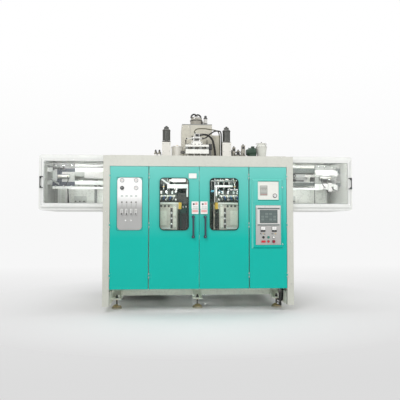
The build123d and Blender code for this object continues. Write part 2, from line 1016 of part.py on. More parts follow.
def wing_door():
    """A sliding door frame with its pull handle."""
    frame = block(door_near, door_far - slide_gap, slide_front, slide_back, slide_low, slide_high)
    frame -= plate(pane_near, pane_far, slide_front - overcut, slide_back + overcut, pane_low, pane_high,
                   pane_corner)
    frame -= plate(pane_near - rebate, pane_far + rebate, slide_back - slide_pane, slide_back + overcut,
                   pane_low - rebate, pane_high + rebate, pane_corner + rebate)
    bar_y = slide_front - pull_reach
    inner = pull_out - pull_return
    frame += rod_z(pull_out, bar_y, pull_low - pull_radius, pull_high + pull_radius, pull_radius)
    for level in (pull_low, pull_high):
        frame += rod_x(inner, pull_out, bar_y, level, pull_radius)
        frame += rod_y(inner, bar_y - pull_radius, slide_front + weld, level, pull_radius)
    return frame


def wing_window():
    return plate(pane_near - rebate, pane_far + rebate, slide_back - slide_pane, slide_back, pane_low - rebate,
                 pane_high + rebate, pane_corner + rebate)


def takeout_rail():
    """Two beams that carry a take-out carriage, from the wing's end wall into the machine."""
    y0, y1 = takeout_y
    reach = wing_out - wing_sheet
    rails = block(beam_near, reach, y0, y1, beam_high_level, side_beam_low)
    rails += block(beam_near, reach, y0, y1, beam_low_level, beam_low_top)
    return rails + block(beam_near, beam_near + beam_end, y0, y1, beam_low_level, side_beam_low)


def takeout_carriage():
    """The carriage plate, its bearing shoes over and under the beams, the arm and the neck mask."""
    y0, y1 = takeout_y
    back = y0 - takeout_gap
    front = back - takeout_plate
    arm_front = front - arm_thick
    slide = block(takeout_near, takeout_far, front, back, mask_low + shoe_inset, side_beam_low + takeout_over)
    shoe_near = takeout_near + shoe_inset
    shoe_far = takeout_far - shoe_inset
    for low, high in ((side_beam_low + running_gap, side_beam_low + shoe_depth),
                      (beam_high_level - shoe_depth, beam_high_level - running_gap),
                      (beam_low_top + running_gap, beam_low_top + shoe_depth),
                      (beam_low_level - shoe_depth, beam_low_level - running_gap)):
        slide += block(shoe_near, shoe_far, back - weld, y1, low, high)
    arm_low = mask_low + mask_thick
    slide += block(mask_near, takeout_near + arm_lap, arm_front, front + weld, arm_low, arm_low + arm_thick)
    mask = block(mask_near, mask_near + mask_length, arm_front, parting + mask_reach, mask_low, arm_low + weld)
    for index in range(cavity_count):
        x = mask_near + (index + 0.5) * cavity_pitch
        mask -= rod_z(x, parting, mask_low - overcut, arm_low + weld + overcut, neck_radius)
    return slide + mask


def guide_rails():
    """Profile rails of the mould carriages on the bed, and the beams of the take-out carriages."""
    rails = []
    half = rail_width / 2
    for y in rail_lines:
        rail = block(-rail_half, rail_half, y - half, y + half, rail_seat, rail_seat + rail_height)
        for side in (-1, 1):
            rail -= block(-rail_half - overcut, rail_half + overcut, y + side * half, y + side * (half - rail_groove),
                          rail_seat + groove_low, rail_seat + groove_high)
        rails.append(rail)
    beam = takeout_rail()
    return group(*rails, beam, other_side(beam))


def carriage_bearing(x, y):
    """A bearing block that saddles a profile rail."""
    half = rail_width / 2 + running_gap
    saddle = block(x - saddle_half, x + saddle_half, y - saddle_width / 2, y + saddle_width / 2,
                   rail_seat + saddle_rise, carriage_base)
    return saddle - block(x - saddle_half - overcut, x + saddle_half + overcut, y - half, y + half, rail_seat,
                          rail_seat + rail_height + running_gap)


def front_covers(x0, x1):
    """The two raised covers and the lip on a carriage's front plate, with their bolts."""
    proud = carriage_front - cover_proud
    bolt_front = carriage_front - bolt_proud
    lip_low = end_top - lip_height
    covers = block(x0, x1, proud - cover_lip, carriage_front + weld, lip_low, end_top)
    covers += block(x0 + cover_one[0], x0 + cover_one[1], proud, carriage_front + weld, carriage_deck, lip_low)
    covers += block(x0 + cover_two, x1, proud, carriage_front + weld, carriage_deck + cover_two_rise,
                    end_top - cover_two_drop)
    for index in range(4):
        covers += rod_y(x0 + bolt_row + bolt_row_pitch * index, bolt_front, carriage_front + weld,
                        end_top - bolt_row_drop, bolt_radius)
    for index in range(3):
        covers += rod_y(x0 + bolt_column, bolt_front, carriage_front + weld,
                        carriage_deck + bolt_column_rise + bolt_column_pitch * index, bolt_radius)
    return covers


def mould_carriage():
    """Carriage with end plates, four tie bars, the two clamp cylinders and the yellow buffer."""
    x0 = station - carriage_half
    x1 = station + carriage_half
    body = block(x0, x1, carriage_front, carriage_rear, carriage_base, carriage_deck)
    for y in rail_lines:
        for side in (-1, 1):
            body += carriage_bearing(station + side * saddle_pitch, y)
    body += block(x0, x1, carriage_front, carriage_front + end_plate, carriage_deck - weld, end_top)
    body += block(x0, x1, carriage_rear - rear_plate, carriage_rear, carriage_deck - weld, end_top)
    body += front_covers(x0, x1)
    for level in bar_levels:
        for side in (-1, 1):
            body += rod_y(station + side * bar_reach, carriage_front + weld, carriage_rear - weld, level, bar_radius)
    front_end = clamp_open_front - mould_thick - platen_thick - cylinder_gap
    rear_start = clamp_open_rear + mould_thick + platen_thick + cylinder_gap
    body += rod_y(station, carriage_front + weld, front_end, ram_level, cylinder_radius)
    body += rod_y(station, rear_start, carriage_rear - weld, ram_level, cylinder_radius)
    bore = clamp_rod + bar_clearance
    body -= rod_y(station, carriage_front + cylinder_wall, front_end + overcut, ram_level, bore)
    body -= rod_y(station, rear_start - overcut, carriage_rear - cylinder_wall, ram_level, bore)
    buffer_front = carriage_front - cover_lip
    buffer_rear = buffer_front + buffer_depth
    buffer_far = x0 - buffer_gap
    bracket = block(buffer_far, x0 + weld, buffer_front, buffer_rear, end_top - buffer_height, end_top)
    buffer = block(buffer_far - buffer_length, buffer_far, buffer_front, buffer_rear, end_top - buffer_height, end_top)
    buffer = chamfer(buffer.faces().sort_by(Axis.X)[0].edges(), buffer_bevel)
    return group(body + bracket, buffer)


def platen(facing):
    """A platen on the tie bars with its mould half. facing is 1 for the front platen, -1 for the rear one."""
    face = parting - facing * open_gap
    joint = face - facing * mould_thick
    back = joint - facing * platen_thick
    rod_end = carriage_front + clamp_rod_end if facing > 0 else carriage_rear - clamp_rod_end
    slab = block(station - platen_half, station + platen_half, back, joint, platen_low, mould_top)
    slab += rod_y(station, rod_end, back, ram_level, clamp_rod)
    for level in bar_levels:
        for side in (-1, 1):
            slab -= rod_y(station + side * bar_reach, back - facing * overcut, joint + facing * overcut, level,
                          bar_radius + bar_clearance)
    mould = block(station - mould_half, station + mould_half, joint, face, mould_low, mould_top)
    for index in range(cavity_count):
        mould -= cavity(station + (index - (cavity_count - 1) / 2) * cavity_pitch, face)
    return group(slab, mould)


def cavity(x, face):
    """The hollow of one bottle, with its axis in the face of the mould half."""
    low = mould_low + cavity_floor
    shoulder = mould_top - shoulder_drop
    neck = mould_top - neck_drop
    hollow = rod_z(x, face, low, shoulder, cavity_radius)
    hollow += Pos(x, face, (shoulder + neck) / 2) * Cone(cavity_radius, neck_radius, neck - shoulder)
    return hollow + rod_z(x, face, neck, mould_top + overcut, neck_radius)


def blow_ram():
    """Crosshead with four blow pins, the piston rod and two guide rods."""
    y0 = parting - crosshead_depth
    y1 = parting + crosshead_depth
    top = crosshead_low + crosshead_thick
    ram = block(station - crosshead_half, station + crosshead_half, y0, y1, crosshead_low, top)
    for index in range(cavity_count):
        x = station + (index - (cavity_count - 1) / 2) * cavity_pitch
        ram += rod_z(x, parting, pin_tip, crosshead_low + weld, blow_pin)
    ram += rod_z(station, parting, top - weld, block_top - blow_rod_drop, blow_rod)
    for side in (-1, 1):
        ram += rod_z(station + side * guide_reach, parting, top - weld, roof - door_gap, guide_rod)
    return ram


def blow_station():
    """Guide block under the deck, cylinder block on the deck and the dark cylinder with its end cap."""
    bore = blow_rod + bar_clearance
    guide = block(station - guide_block_half, station + guide_block_half, parting - guide_block_side,
                  parting + guide_block_side, guide_block_low, roof)
    guide -= rod_z(station, parting, guide_block_low - overcut, roof + overcut, bore)
    for side in (-1, 1):
        guide -= rod_z(station + side * guide_reach, parting, guide_block_low - overcut, roof + overcut,
                       guide_rod + bar_clearance)
    head = block(station - block_half, station + block_half, parting - block_half, parting + block_half, deck_top,
                 block_top)
    head -= rod_z(station, parting, deck_top - overcut, block_top - bore_end, bore)
    cap_top = barrel_top + cap_height
    barrel = rod_z(station, parting, block_top, barrel_top, blow_cylinder_radius)
    barrel = chamfer(barrel.edges().sort_by(Axis.Z)[-1], barrel_bevel)
    barrel += rod_z(station, parting, barrel_top - weld, cap_top, cap_radius)
    barrel += rod_z(station, parting, cap_top - weld, cap_top + nipple_height, nipple_radius)
    return group(guide, head, barrel)


def die_head():
    """Manifold, four dies with their heater bands, the two head plates, bolts, neck and pillars."""
    past = plate_half + upper_plate_past
    head = block(-manifold_half, manifold_half, parting - manifold_depth, parting + manifold_depth, manifold_low,
                 plate_low + weld)
    head += block(-plate_half, plate_half, head_front, head_rear, plate_low, plate_high)
    head += block(-past, past, head_front + upper_plate_front, head_rear - upper_plate_rear, upper_plate_low,
                  upper_plate_high)
    head += block(-neck_half, neck_half, parting - neck_half, parting + neck_half, plate_high - weld, neck_top)
    for index in range(head_bolts):
        x = (index - (head_bolts - 1) / 2) * head_bolt_pitch
        head += rod_z(x, head_front + head_bolt_inset, plate_high - weld, upper_plate_low + weld, head_bolt_radius)
    for side in (-1, 1):
        head += rod_z(side * pillar_places[1], head_rear - head_bolt_inset, plate_high - weld, upper_plate_low + weld,
                      head_bolt_radius)
        head += rod_z(side * pillar_places[1], head_rear - pillar_inset, deck_top, plate_low + weld, pillar_radius)
        for x in pillar_places:
            head += rod_z(side * x, head_front + pillar_inset, deck_top, plate_low + weld, pillar_radius)
    for index in range(cavity_count):
        x = (index - (cavity_count - 1) / 2) * cavity_pitch
        head += rod_z(x, parting, die_low, manifold_low + weld, die_radius)
        for rise in band_rises:
            head += rod_z(x, parting, die_low + rise, die_low + rise + band_height, band_radius)
    return head


def parison_servo():
    """Valve body on the neck with its side ports and top ports."""
    y = parting - servo_port_front
    level = neck_top + servo_port_level
    shoulder = servo_top - servo_shoulder
    body = block(-servo_half, servo_half, parting - servo_depth, parting + servo_depth, neck_top, shoulder)
    body += block(-servo_cap_near, servo_cap_far, parting - servo_cap_depth, parting + servo_cap_depth,
                  shoulder - weld, shoulder + servo_cap_height)
    body += rod_x(-servo_port_reach, servo_port_reach, y, level, servo_port_radius)
    body += rod_x(-stalk_reach, -servo_port_reach + weld, y, level, stalk_radius)
    return body + rod_x(-stalk_reach - plug_length, -stalk_reach + weld, y, level, plug_radius)


def parison_knife():
    """Blade under the dies, its two arms, the cross bar, the hanger and the slide on its rail."""
    slide_seat = knife_rail_low - running_gap
    slide_low_face = knife_rail_low - slide_height
    knife = block(-knife_half, knife_half, parting + blade_start, parting + blade_end, knife_low,
                  knife_low + knife_thick)
    for side in (-1, 1):
        knife += block(side * (knife_half - knife_arm), side * knife_half, parting + (blade_start + blade_end) / 2,
                       parting + knife_bar_end, knife_low, knife_low + knife_arm_thick)
    knife += block(-knife_half, knife_half, parting + knife_bar_start, parting + knife_bar_end, knife_low,
                   knife_low + knife_bar_height)
    knife += block(-hanger_half, hanger_half, parting + knife_bar_start, parting + knife_bar_end,
                   knife_low + knife_bar_height - weld, slide_low_face + weld)
    knife += block(-slide_half, slide_half, parting + slide_start, parting + slide_end, slide_low_face, slide_seat)
    for side in (-1, 1):
        knife += block(side * (knife_rail_half + running_gap), side * slide_half, parting + slide_start,
                       parting + slide_end, slide_seat - weld, side_beam_low - door_gap)
    return knife


def upper_frame():
    """Rear and middle posts, side and cross beams, the rails beside the wings, the deck and the knife's rail."""
    front = front_face + tube_depth
    notch_top = slide_high + 2 * slide_gap + track_height
    half = block(post_inside, portal_half, front, rear_face - tube_depth + weld, side_beam_low, roof)
    half -= block(post_inside - overcut, portal_half + overcut, front - overcut, wing_front + 2 * door_gap,
                  side_beam_low - overcut, notch_top)
    half += block(post_inside, portal_half, rear_face - tube_depth, rear_face, base_top, roof)
    half += block(post_inside, portal_half, wing_rear, wing_rear + tube_depth, base_top, side_beam_low + weld)
    half += block(post_inside, portal_half, front, wing_rear + weld, wing_low - tube_depth, wing_low)
    frame = half + other_side(half)
    for y in (*cross_beam_places, rear_face - tube_depth):
        frame += block(-post_inside, post_inside, y, y + tube_depth, side_beam_low, roof)
    frame += block(-knife_rail_half, knife_rail_half, parting + knife_rail_start, parting + knife_rail_end,
                   knife_rail_low, side_beam_low + weld)
    deck = block(-post_inside, post_inside, front_face + deck_inset, rear_face, roof, deck_top)
    deck -= block(-opening_half, opening_half, parting - opening_depth, parting + opening_depth, roof - overcut,
                  deck_top + overcut)
    for side in (-1, 1):
        deck -= rod_z(side * station, parting, roof - overcut, deck_top + overcut, blow_rod + deck_hole_gap)
    return group(frame, deck)


def foot_bracket(x0, x1, y):
    """A plate that carries a levelling foot, with a gusset at each side."""
    beam = cross_front
    top = bracket_low + bracket_thick
    bracket = block(x0, x1, y - bracket_front, beam + weld, bracket_low, top)
    bracket += block(x0, x1, beam - bracket_back, beam + weld, bracket_low, base_top)
    for x in (x0 + gusset_inset, x1 - gusset_inset):
        outline = Polyline((beam, bracket_low + gusset_margin), (y - gusset_front, bracket_low + gusset_margin),
                           (beam, base_top - gusset_margin), close=True)
        web = extrude(make_face(outline), gusset_thick / 2, both=True)
        bracket += Pos(x, 0, 0) * Rot(90, 0, 0) * Rot(0, 90, 0) * web
    return bracket - rod_z((x0 + x1) / 2, y, bracket_low - overcut, top + overcut, stud_radius + stud_clearance)


def base_frame():
    """Side and cross beams, foot brackets, columns and the bed under the mould carriages."""
    half = block(post_inside, portal_half, front_face + tube_depth, rear_face, frame_bottom, base_top)
    bed_low = rail_seat - tube_depth
    reach = tube_depth / 2
    for y in rail_lines:
        half += block(post_inside, portal_half, y - reach, y + reach, base_top - weld, rail_seat)
        half += block(0, post_inside + weld, y - reach, y + reach, bed_low, rail_seat)
    half += block(bed_tie_near, bed_tie_near + bed_tie_width, rail_lines[0], rail_lines[1], bed_low, rail_seat)
    for y in (cross_front, -cross_front - tube_depth, rear_face - tube_depth):
        half += block(0, post_inside + weld, y, y + tube_depth, base_bottom, base_top)
    for x in base_tie_places:
        half += block(x, x + base_tie_width, cross_front, -cross_front, base_bottom, base_top)
    corner = foot_bracket(2 * foot_x - post_inside, post_inside + weld, -foot_y)
    half += corner + mirror(corner, about=Plane.XZ)
    middle = foot_bracket(-middle_bracket_half, middle_bracket_half, -foot_y)
    middle += mirror(middle, about=Plane.XZ)
    spine = block(-reach, reach, rail_lines[0], rail_lines[1], bed_low, rail_seat)
    spine += block(-reach, reach, cross_front, cross_front + tube_depth, base_top - weld, bed_low + weld)
    return half + other_side(half) + middle + spine


def levelling_foot(x, y):
    """Rubber pad and cap, and the stud with a nut under and over the bracket."""
    shoulder = foot_cap_top - foot_cap_cone
    cap_radius_low = pad_radius - foot_cap_inset
    pad = rod_z(x, y, 0, pad_height, pad_radius)
    cap = rod_z(x, y, pad_height, shoulder, cap_radius_low)
    cap += Pos(x, y, shoulder + foot_cap_cone / 2) * Cone(cap_radius_low, foot_cap_top_radius, foot_cap_cone)
    stud = rod_z(x, y, foot_cap_top, bracket_low + stud_past, stud_radius)
    for low in (bracket_low - nut_height, bracket_low + bracket_thick):
        stud += Pos(x, y, low) * extrude(RegularPolygon(nut_radius, 6), nut_height)
    return [pad, cap, stud]


def levelling_feet():
    pieces = []
    for x in (-foot_x, 0, foot_x):
        for y in (-foot_y, foot_y):
            pieces += levelling_foot(x, y)
    return group(*pieces)


def enclosure_panels():
    """Side and rear sheets screwed to the outside of the frame, with air slots at the rear."""
    out = portal_half + panel_sheet
    split = wing_low - wing_flange
    low_edge = frame_bottom + sheet_rise
    high_edge = roof - sheet_drop
    low = block(portal_half, out, front_face + tube_depth + side_sheet_gap, rear_face, low_edge, split - door_gap)
    high = block(portal_half, out, wing_rear + door_gap, rear_face, split, high_edge)
    sheets = [low, high, other_side(low), other_side(high)]
    third = 2 * portal_half / 3
    for index in (-1, 0, 1):
        x0 = index * third - third / 2 + door_gap
        x1 = index * third + third / 2 - door_gap
        sheet = block(x0, x1, rear_face, rear_face + panel_sheet, low_edge, high_edge)
        if index:
            for row in range(vent_rows):
                level = vent_low + vent_pitch * row
                sheet -= block(x0 + vent_inset, x1 - vent_inset, rear_face - overcut,
                               rear_face + panel_sheet + overcut, level, level + vent_height)
        sheets.append(sheet)
    return group(*sheets)


def extruder_barrel():
    """Barrel with its head flange, three heater zones and the stand at the rear."""
    barrel = rod_y(extruder_x, head_rear, barrel_rear, barrel_axis, barrel_radius)
    barrel += rod_y(extruder_x, head_rear, head_rear + flange_thick, barrel_axis, flange_radius)
    for start in zone_starts:
        barrel += rod_y(extruder_x, start, start + zone_length, barrel_axis, zone_radius)
    barrel += block(extruder_x - barrel_radius, extruder_x + barrel_radius, stand_near, stand_near + stand_thick,
                    deck_top, barrel_axis)
    return barrel - rod_y(extruder_x, head_rear + bore_start, barrel_rear + overcut, barrel_axis,
                          screw_bore + screw_clearance)


def extruder_screw():
    """The screw's root with its tapering zones, the tip and the drive end."""
    tip_front = head_rear + tip_gap
    taper_front = tip_front + screw_tip_length
    taper_rear = taper_front + taper_length
    drive_front = barrel_rear - drive_length
    tip = Pos(extruder_x, (tip_front + taper_front) / 2, barrel_axis) * Rot(90, 0, 0) * Cone(
        screw_end_root, screw_tip_radius, screw_tip_length)
    taper = Pos(extruder_x, (taper_front + taper_rear) / 2, barrel_axis) * Rot(90, 0, 0) * Cone(
        screw_root, screw_end_root, taper_length)
    root = rod_y(extruder_x, taper_rear, drive_front, barrel_axis, screw_root)
    return root + taper + tip + rod_y(extruder_x, drive_front, barrel_rear, barrel_axis, screw_bore)


def barrel_cover():
    """Sheet cover over the barrel, open below, with the lower electrical box at its side."""
    cover = block(cover_near, cover_far, cover_front, cover_rear, deck_top, cover_top)
    cover -= block(cover_near + panel_sheet, cover_far - panel_sheet, cover_front + panel_sheet,
                   cover_rear - panel_sheet, deck_top - overcut, cover_top - panel_sheet)
    cover -= block(extruder_x - cover_slot_half, extruder_x + cover_slot_half, cover_front - overcut,
                   cover_rear + overcut, deck_top - overcut, barrel_axis + cover_slot_half)
    return cover + block(cover_far - weld, box_far, cover_front + box_front_inset, cover_rear - box_rear_inset,
                         deck_top, deck_top + box_height)


def drive_gearbox():
    case = block(extruder_x - gearbox_half, extruder_x + gearbox_half, barrel_rear, gearbox_rear, deck_top,
                 barrel_axis + gearbox_height)
    case = fillet(case.edges().filter_by(Axis.Y).sort_by(Axis.Z)[-2:], gearbox_corner)
    for side in (-1, 1):
        case += block(extruder_x + side * (gearbox_half - weld), extruder_x + side * (gearbox_half + gearbox_foot),
                      barrel_rear + gearbox_foot, gearbox_rear - gearbox_foot, deck_top,
                      deck_top + gearbox_foot_thick)
    return case


def drive_motor():
    """Finned motor with its terminal box and fan cowl, flanged to the gearbox."""
    level = barrel_axis + motor_rise
    cowl_front = motor_rear - cowl_length
    core_radius = motor_radius - motor_waist - fin_height
    motor = rod_y(extruder_x, gearbox_rear, cowl_front, level, core_radius)
    fins = PolarLocations(core_radius + fin_height / 2, fin_count) * Rectangle(fin_height + weld, fin_thick)
    length = cowl_front - gearbox_rear
    fins = extrude(Sketch() + fins, length / 2, both=True)
    motor += Pos(extruder_x, gearbox_rear + length / 2, level) * Rot(90, 0, 0) * fins
    motor += rod_y(extruder_x, gearbox_rear, gearbox_rear + gearbox_foot_thick, level, motor_radius)
    cowl = rod_y(extruder_x, cowl_front, motor_rear, level, motor_radius)
    motor += chamfer(cowl.edges().sort_by(Axis.Y)[-1], cowl_bevel)
    box_front = gearbox_rear + terminal_start
    return motor + block(extruder_x - terminal_half, extruder_x + terminal_half, box_front,
                         box_front + terminal_length, level, level + motor_radius + terminal_height)


def material_hopper():
    """Throat, cone and drum of the hopper, and the vacuum loader with its filter on top."""
    throat = block(extruder_x - throat_near, hopper_x + throat_half, hopper_y - throat_side, hopper_y + throat_side,
                   barrel_axis + barrel_radius, throat_top)
    drum_low = throat_top + cone_height
    hopper = throat + Pos(hopper_x, hopper_y, (throat_top + drum_low) / 2) * Cone(throat_half, hopper_radius,
                                                                                 cone_height)
    hopper += rod_z(hopper_x, hopper_y, drum_low, hopper_seat, hopper_radius)
    lid_low = loader_top - lid_height
    loader = rod_z(hopper_x, hopper_y, hopper_seat, lid_low, loader_radius)
    loader += Pos(hopper_x, hopper_y, (lid_low + loader_top) / 2) * Cone(loader_radius, lid_radius, lid_height)
    filter_x = hopper_x + loader_radius + filter_gap + filter_radius
    filter_low_z = loader_top - filter_low
    filter_top = filter_low_z + filter_body
    loader += rod_z(filter_x, hopper_y, filter_low_z, filter_top, filter_radius)
    loader += Pos(filter_x, hopper_y, filter_top + filter_cone / 2) * Cone(filter_radius, filter_tip, filter_cone)
    loader += block(hopper_x, filter_x, hopper_y - filter_arm / 2, hopper_y + filter_arm / 2,
                    filter_low_z + filter_tip, filter_low_z + filter_tip + filter_arm)
    return group(hopper, loader)


def hose(points, radii, radius):
    """A bent hose along straight runs joined by arcs."""
    path = FilletPolyline(*points, radius=radii)
    section = Plane(origin=path @ 0, z_dir=path % 0) * Circle(radius)
    return sweep(section, path=path)


def hydraulic_hoses():
    """Hoses from the valve body to the deck, the two loops on the loader and the bundle at the right leg."""
    port = servo_top + thick_hose_port
    thick = hose([(servo_cap_far, parting, port), (thick_hose_out, parting, port),
                  (thick_hose_out, parting, deck_top)], [thick_hose_bend], thick_hose)
    cap_top = servo_top - servo_shoulder + servo_cap_height
    long_points = [(x, parting + y, cap_top + z) for x, y, z in long_hose_route]
    long_points.append((long_points[-1][0], long_points[-1][1], deck_top))
    side_y = parting - servo_port_front
    side_port = neck_top + servo_port_level
    short_points = [(servo_port_reach, side_y, side_port), (short_hose_turn, side_y, side_port)]
    short_points += [(x, parting + y, cap_top + z) for x, y, z in short_hose_route]
    short_points.append((short_points[-1][0], short_points[-1][1], deck_top))
    thin = [hose(long_points, long_hose_bends, thin_hose), hose(short_points, short_hose_bends, thin_hose)]
    loops = []
    top = loader_top + loop_height
    for start_x, start_y in loop_places:
        x = hopper_x + start_x
        y = hopper_y + start_y
        loops.append(hose([(x, y, loader_top), (x, y, top), (x + loop_span, y, top),
                           (x + loop_span, y, loader_top)], [loop_bend, loop_bend], loader_hose))
    bundle = []
    level = frame_bottom + bundle_rise
    for index in range(2):
        x = post_inside - running_gap - cable_radius - index * (2 * cable_radius + running_gap)
        bundle.append(hose([(x, bundle_y, bundle_top), (x, bundle_y, level), (x, bundle_end, level)],
                           [bundle_bend], cable_radius))
    return group(thick, *thin, *loops, *bundle)


def air_drum():
    shoulder = drum_top - drum_lid
    drum = rod_z(drum_x, drum_y, deck_top, shoulder, drum_radius)
    return drum + rod_z(drum_x, drum_y, shoulder - weld, drum_top, drum_radius - drum_lid_inset)


def valve_groups():
    """Solenoid valve blocks on the deck, right and left of the head."""
    front = parting - valve_front
    rear = parting + valve_front
    right = block(valve_near, valve_far, front, rear, deck_top, valve_plate_top)
    for start, width, height in valve_blocks:
        right += block(valve_near + start, valve_near + start + width, front + valve_block_start,
                       front + valve_block_start + valve_block_depth, valve_plate_top - weld,
                       valve_plate_top + height)
    right += rod_x(valve_near + header_start, valve_far, rear - header_inset, valve_plate_top + header_radius - weld,
                   header_radius)
    left_top = deck_top + left_valve_height
    left = block(-left_valve_far, -left_valve_near, parting - left_valve_front, parting - left_valve_rear, deck_top,
                 left_top)
    for x in (-left_valve_far + port_inset, -left_valve_near - port_inset):
        left += rod_z(x, front, left_top - weld, left_top + port_height, port_radius)
    return group(right, left)


def vacuum_pump():
    """Dark green pump motor lying across the deck, with a tapered end and a foot."""
    motor = rod_x(pump_near, pump_far, parting, pump_level, pump_radius)
    taper = Cone(pump_taper_radius, pump_radius - weld, pump_taper)
    motor += Pos(pump_near - pump_taper / 2, parting, pump_level) * Rot(0, 90, 0) * taper
    motor += rod_x(pump_far - pump_flange, pump_far, parting, pump_level, pump_radius + pump_flange)
    return motor + block(pump_near + pump_foot_inset, pump_far - pump_foot_inset, parting - pump_foot_half,
                         parting + pump_foot_half, deck_top, pump_level - pump_foot_drop)


def filter_canister():
    """Pale canister that widens upward under a domed lid."""
    base = deck_top + canister_base
    shoulder = base + canister_height
    body = rod_z(canister_x, parting, deck_top, base, canister_radius)
    body += Pos(canister_x, parting, (base + shoulder) / 2) * Cone(canister_low, canister_high, canister_height)
    return body + Pos(canister_x, parting, shoulder + canister_lid / 2) * Cone(canister_high, canister_radius,
                                                                              canister_lid)


def hydraulic_tank():
    """Oil tank between the base beams with its filler and the pump set on top."""
    plate_top = tank_top + pump_plate_height
    pump_x = (pump_plate_near + pump_plate_far) / 2
    tank = block(-tank_far, -tank_near, tank_front, tank_rear, base_top, tank_top)
    tank += block(-pump_plate_far, -pump_plate_near, pump_plate_front, pump_plate_rear, tank_top - weld, plate_top)
    tank += rod_y(-pump_x, oil_pump_front, oil_pump_rear, tank_top + oil_pump_rise, oil_pump_radius)
    return tank + rod_z(-breather_x, 0, tank_top - weld, tank_top + breather_height, breather_radius)


def main():
    os.makedirs("parts", exist_ok=True)
    save("base_frame", base_frame())
    save("levelling_feet", levelling_feet())
    save("front_portal", front_portal())
    save("upper_frame", upper_frame())
    save("enclosure_panels", enclosure_panels())
    save("guide_rails", guide_rails())
    save("hydraulic_tank", hydraulic_tank())

    wing = wing_guard()
    save("wing_guards", group(wing, other_side(wing)))
    save("right_wing_door", wing_door())
    save("left_wing_door", other_side(wing_door()))
    save("right_wing_window", wing_window())
    save("left_wing_window", other_side(wing_window()))
    save("right_takeout_carriage", takeout_carriage())
    save("left_takeout_carriage", other_side(takeout_carriage()))

    save("left_cabinet_door", cabinet_door())
    save("gauge_panel", gauge_panel())
    save("pressure_gauges", pressure_gauges())
    save("flow_meters", flow_meters())
    save("air_regulator_knob", air_regulator_knob())
    for side, place in (("right", lambda shape: shape), ("left", other_side)):
        save(f"{side}_safety_door", place(safety_door()))
        save(f"{side}_door_window", place(door_window()))
        save(f"{side}_door_handle", place(door_handle()))
        save(f"{side}_mould_carriage", place(mould_carriage()))
        save(f"{side}_front_platen", place(platen(1)))
        save(f"{side}_rear_platen", place(platen(-1)))
        save(f"{side}_blow_ram", place(blow_ram()))

    save("control_door", control_door())
    save("control_panel", control_panel())
    save("parison_controller", parison_controller())
    save("touch_screen", touch_screen())
    save("panel_meters", panel_meters())
    save("controller_lock", turn_knob(lock_place, upper_face - plate_thick, lock_radius, lock_depth))
    save("selector_switch", turn_knob(selector_place, lower_face, button_radius, selector_depth))
    save("start_button", push_button(start_place, button_radius, button_out))
    save("reset_button", push_button(reset_place, button_radius, button_out))
    save("stop_button", push_button(halt_place, button_radius, halt_out))
    save("alarm_button", alarm_button())
    save("emergency_stop", push_button(emergency_place, emergency_radius, emergency_out))

    station_right = blow_station()
    save("blow_stations", group(station_right, other_side(station_right)))
    save("die_head", die_head())
    save("parison_servo", parison_servo())
    save("parison_knife", parison_knife())
    save("extruder_barrel", extruder_barrel())
    save("extruder_screw", extruder_screw())
    save("barrel_cover", barrel_cover())
    save("drive_gearbox", drive_gearbox())
    save("drive_motor", drive_motor())
    save("material_hopper", material_hopper())
    save("hydraulic_hoses", hydraulic_hoses())
    save("air_drum", air_drum())
    save("valve_groups", valve_groups())
    save("vacuum_pump", vacuum_pump())
    save("filter_canister", filter_canister())


main()
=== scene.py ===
"""Finishes and fine detail of a double-station blow moulding machine, an add-on that is run as a script."""

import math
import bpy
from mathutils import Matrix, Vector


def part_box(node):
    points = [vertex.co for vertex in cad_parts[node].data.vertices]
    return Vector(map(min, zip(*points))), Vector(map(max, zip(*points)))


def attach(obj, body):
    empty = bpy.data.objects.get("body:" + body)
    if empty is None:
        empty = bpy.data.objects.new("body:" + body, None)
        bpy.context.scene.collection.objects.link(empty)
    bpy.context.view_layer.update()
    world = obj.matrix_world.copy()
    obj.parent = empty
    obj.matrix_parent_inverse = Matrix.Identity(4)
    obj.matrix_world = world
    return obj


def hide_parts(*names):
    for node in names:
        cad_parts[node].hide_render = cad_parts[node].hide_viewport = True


bl_info = {
    "name": "Blow Moulding Machine",
    "version": (1, 0, 0),
    "blender": (4, 5, 0),
    "location": "View3D > Sidebar > Machine",
    "description": "Dresses the frame of a blow moulding machine with its finishes and fine detail",
    "category": "Object",
}

from itertools import product

import bmesh
import bpy
from bpy.props import FloatProperty, FloatVectorProperty, PointerProperty
from mathutils import Matrix, Vector

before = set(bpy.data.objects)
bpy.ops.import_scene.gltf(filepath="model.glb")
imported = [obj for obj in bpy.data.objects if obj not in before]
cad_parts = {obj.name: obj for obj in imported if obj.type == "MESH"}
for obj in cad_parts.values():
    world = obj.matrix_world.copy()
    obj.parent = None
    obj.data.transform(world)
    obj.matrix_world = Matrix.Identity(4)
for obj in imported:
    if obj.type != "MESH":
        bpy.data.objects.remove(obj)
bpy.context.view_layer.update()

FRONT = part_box("front_portal")[0].y
GAUGE_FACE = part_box("gauge_panel")[0].y
DECK = 2.352
HEAD_Y = -0.6
STATION_X = 0.495
SLIDE_FACE = -1.19
CONSOLE_FACE = -1.333
PUMP_Y = sum(corner.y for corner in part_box("vacuum_pump")) / 2
CANISTER_Y = sum(corner.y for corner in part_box("filter_canister")) / 2
HORIZON_TONE = 0.93
PHOTO_PIXELS = 400
FOCAL_PIXELS = 501.5
FAR = 9.0
ALL = (-FAR, FAR)
FORWARD = (0, -1, 0)
BACK = (0, 1, 0)
UP = (0, 0, 1)
DOWN = (0, 0, -1)
RIGHT = (1, 0, 0)
SIDES = (("left", -1), ("right", 1))
SURFACE_OUTPUTS = (("Colour", "Color", None), ("Roughness", "Float", None), ("Normal", "Vector", None))


def colour_property(name, description, default):
    return FloatVectorProperty(name=name, description=description, subtype="COLOR", size=3, min=0.0, max=1.0,
                               default=default)


def length_property(name, description, default):
    return FloatProperty(name=name, description=description, subtype="DISTANCE", unit="LENGTH", min=0.0,
                         default=default)


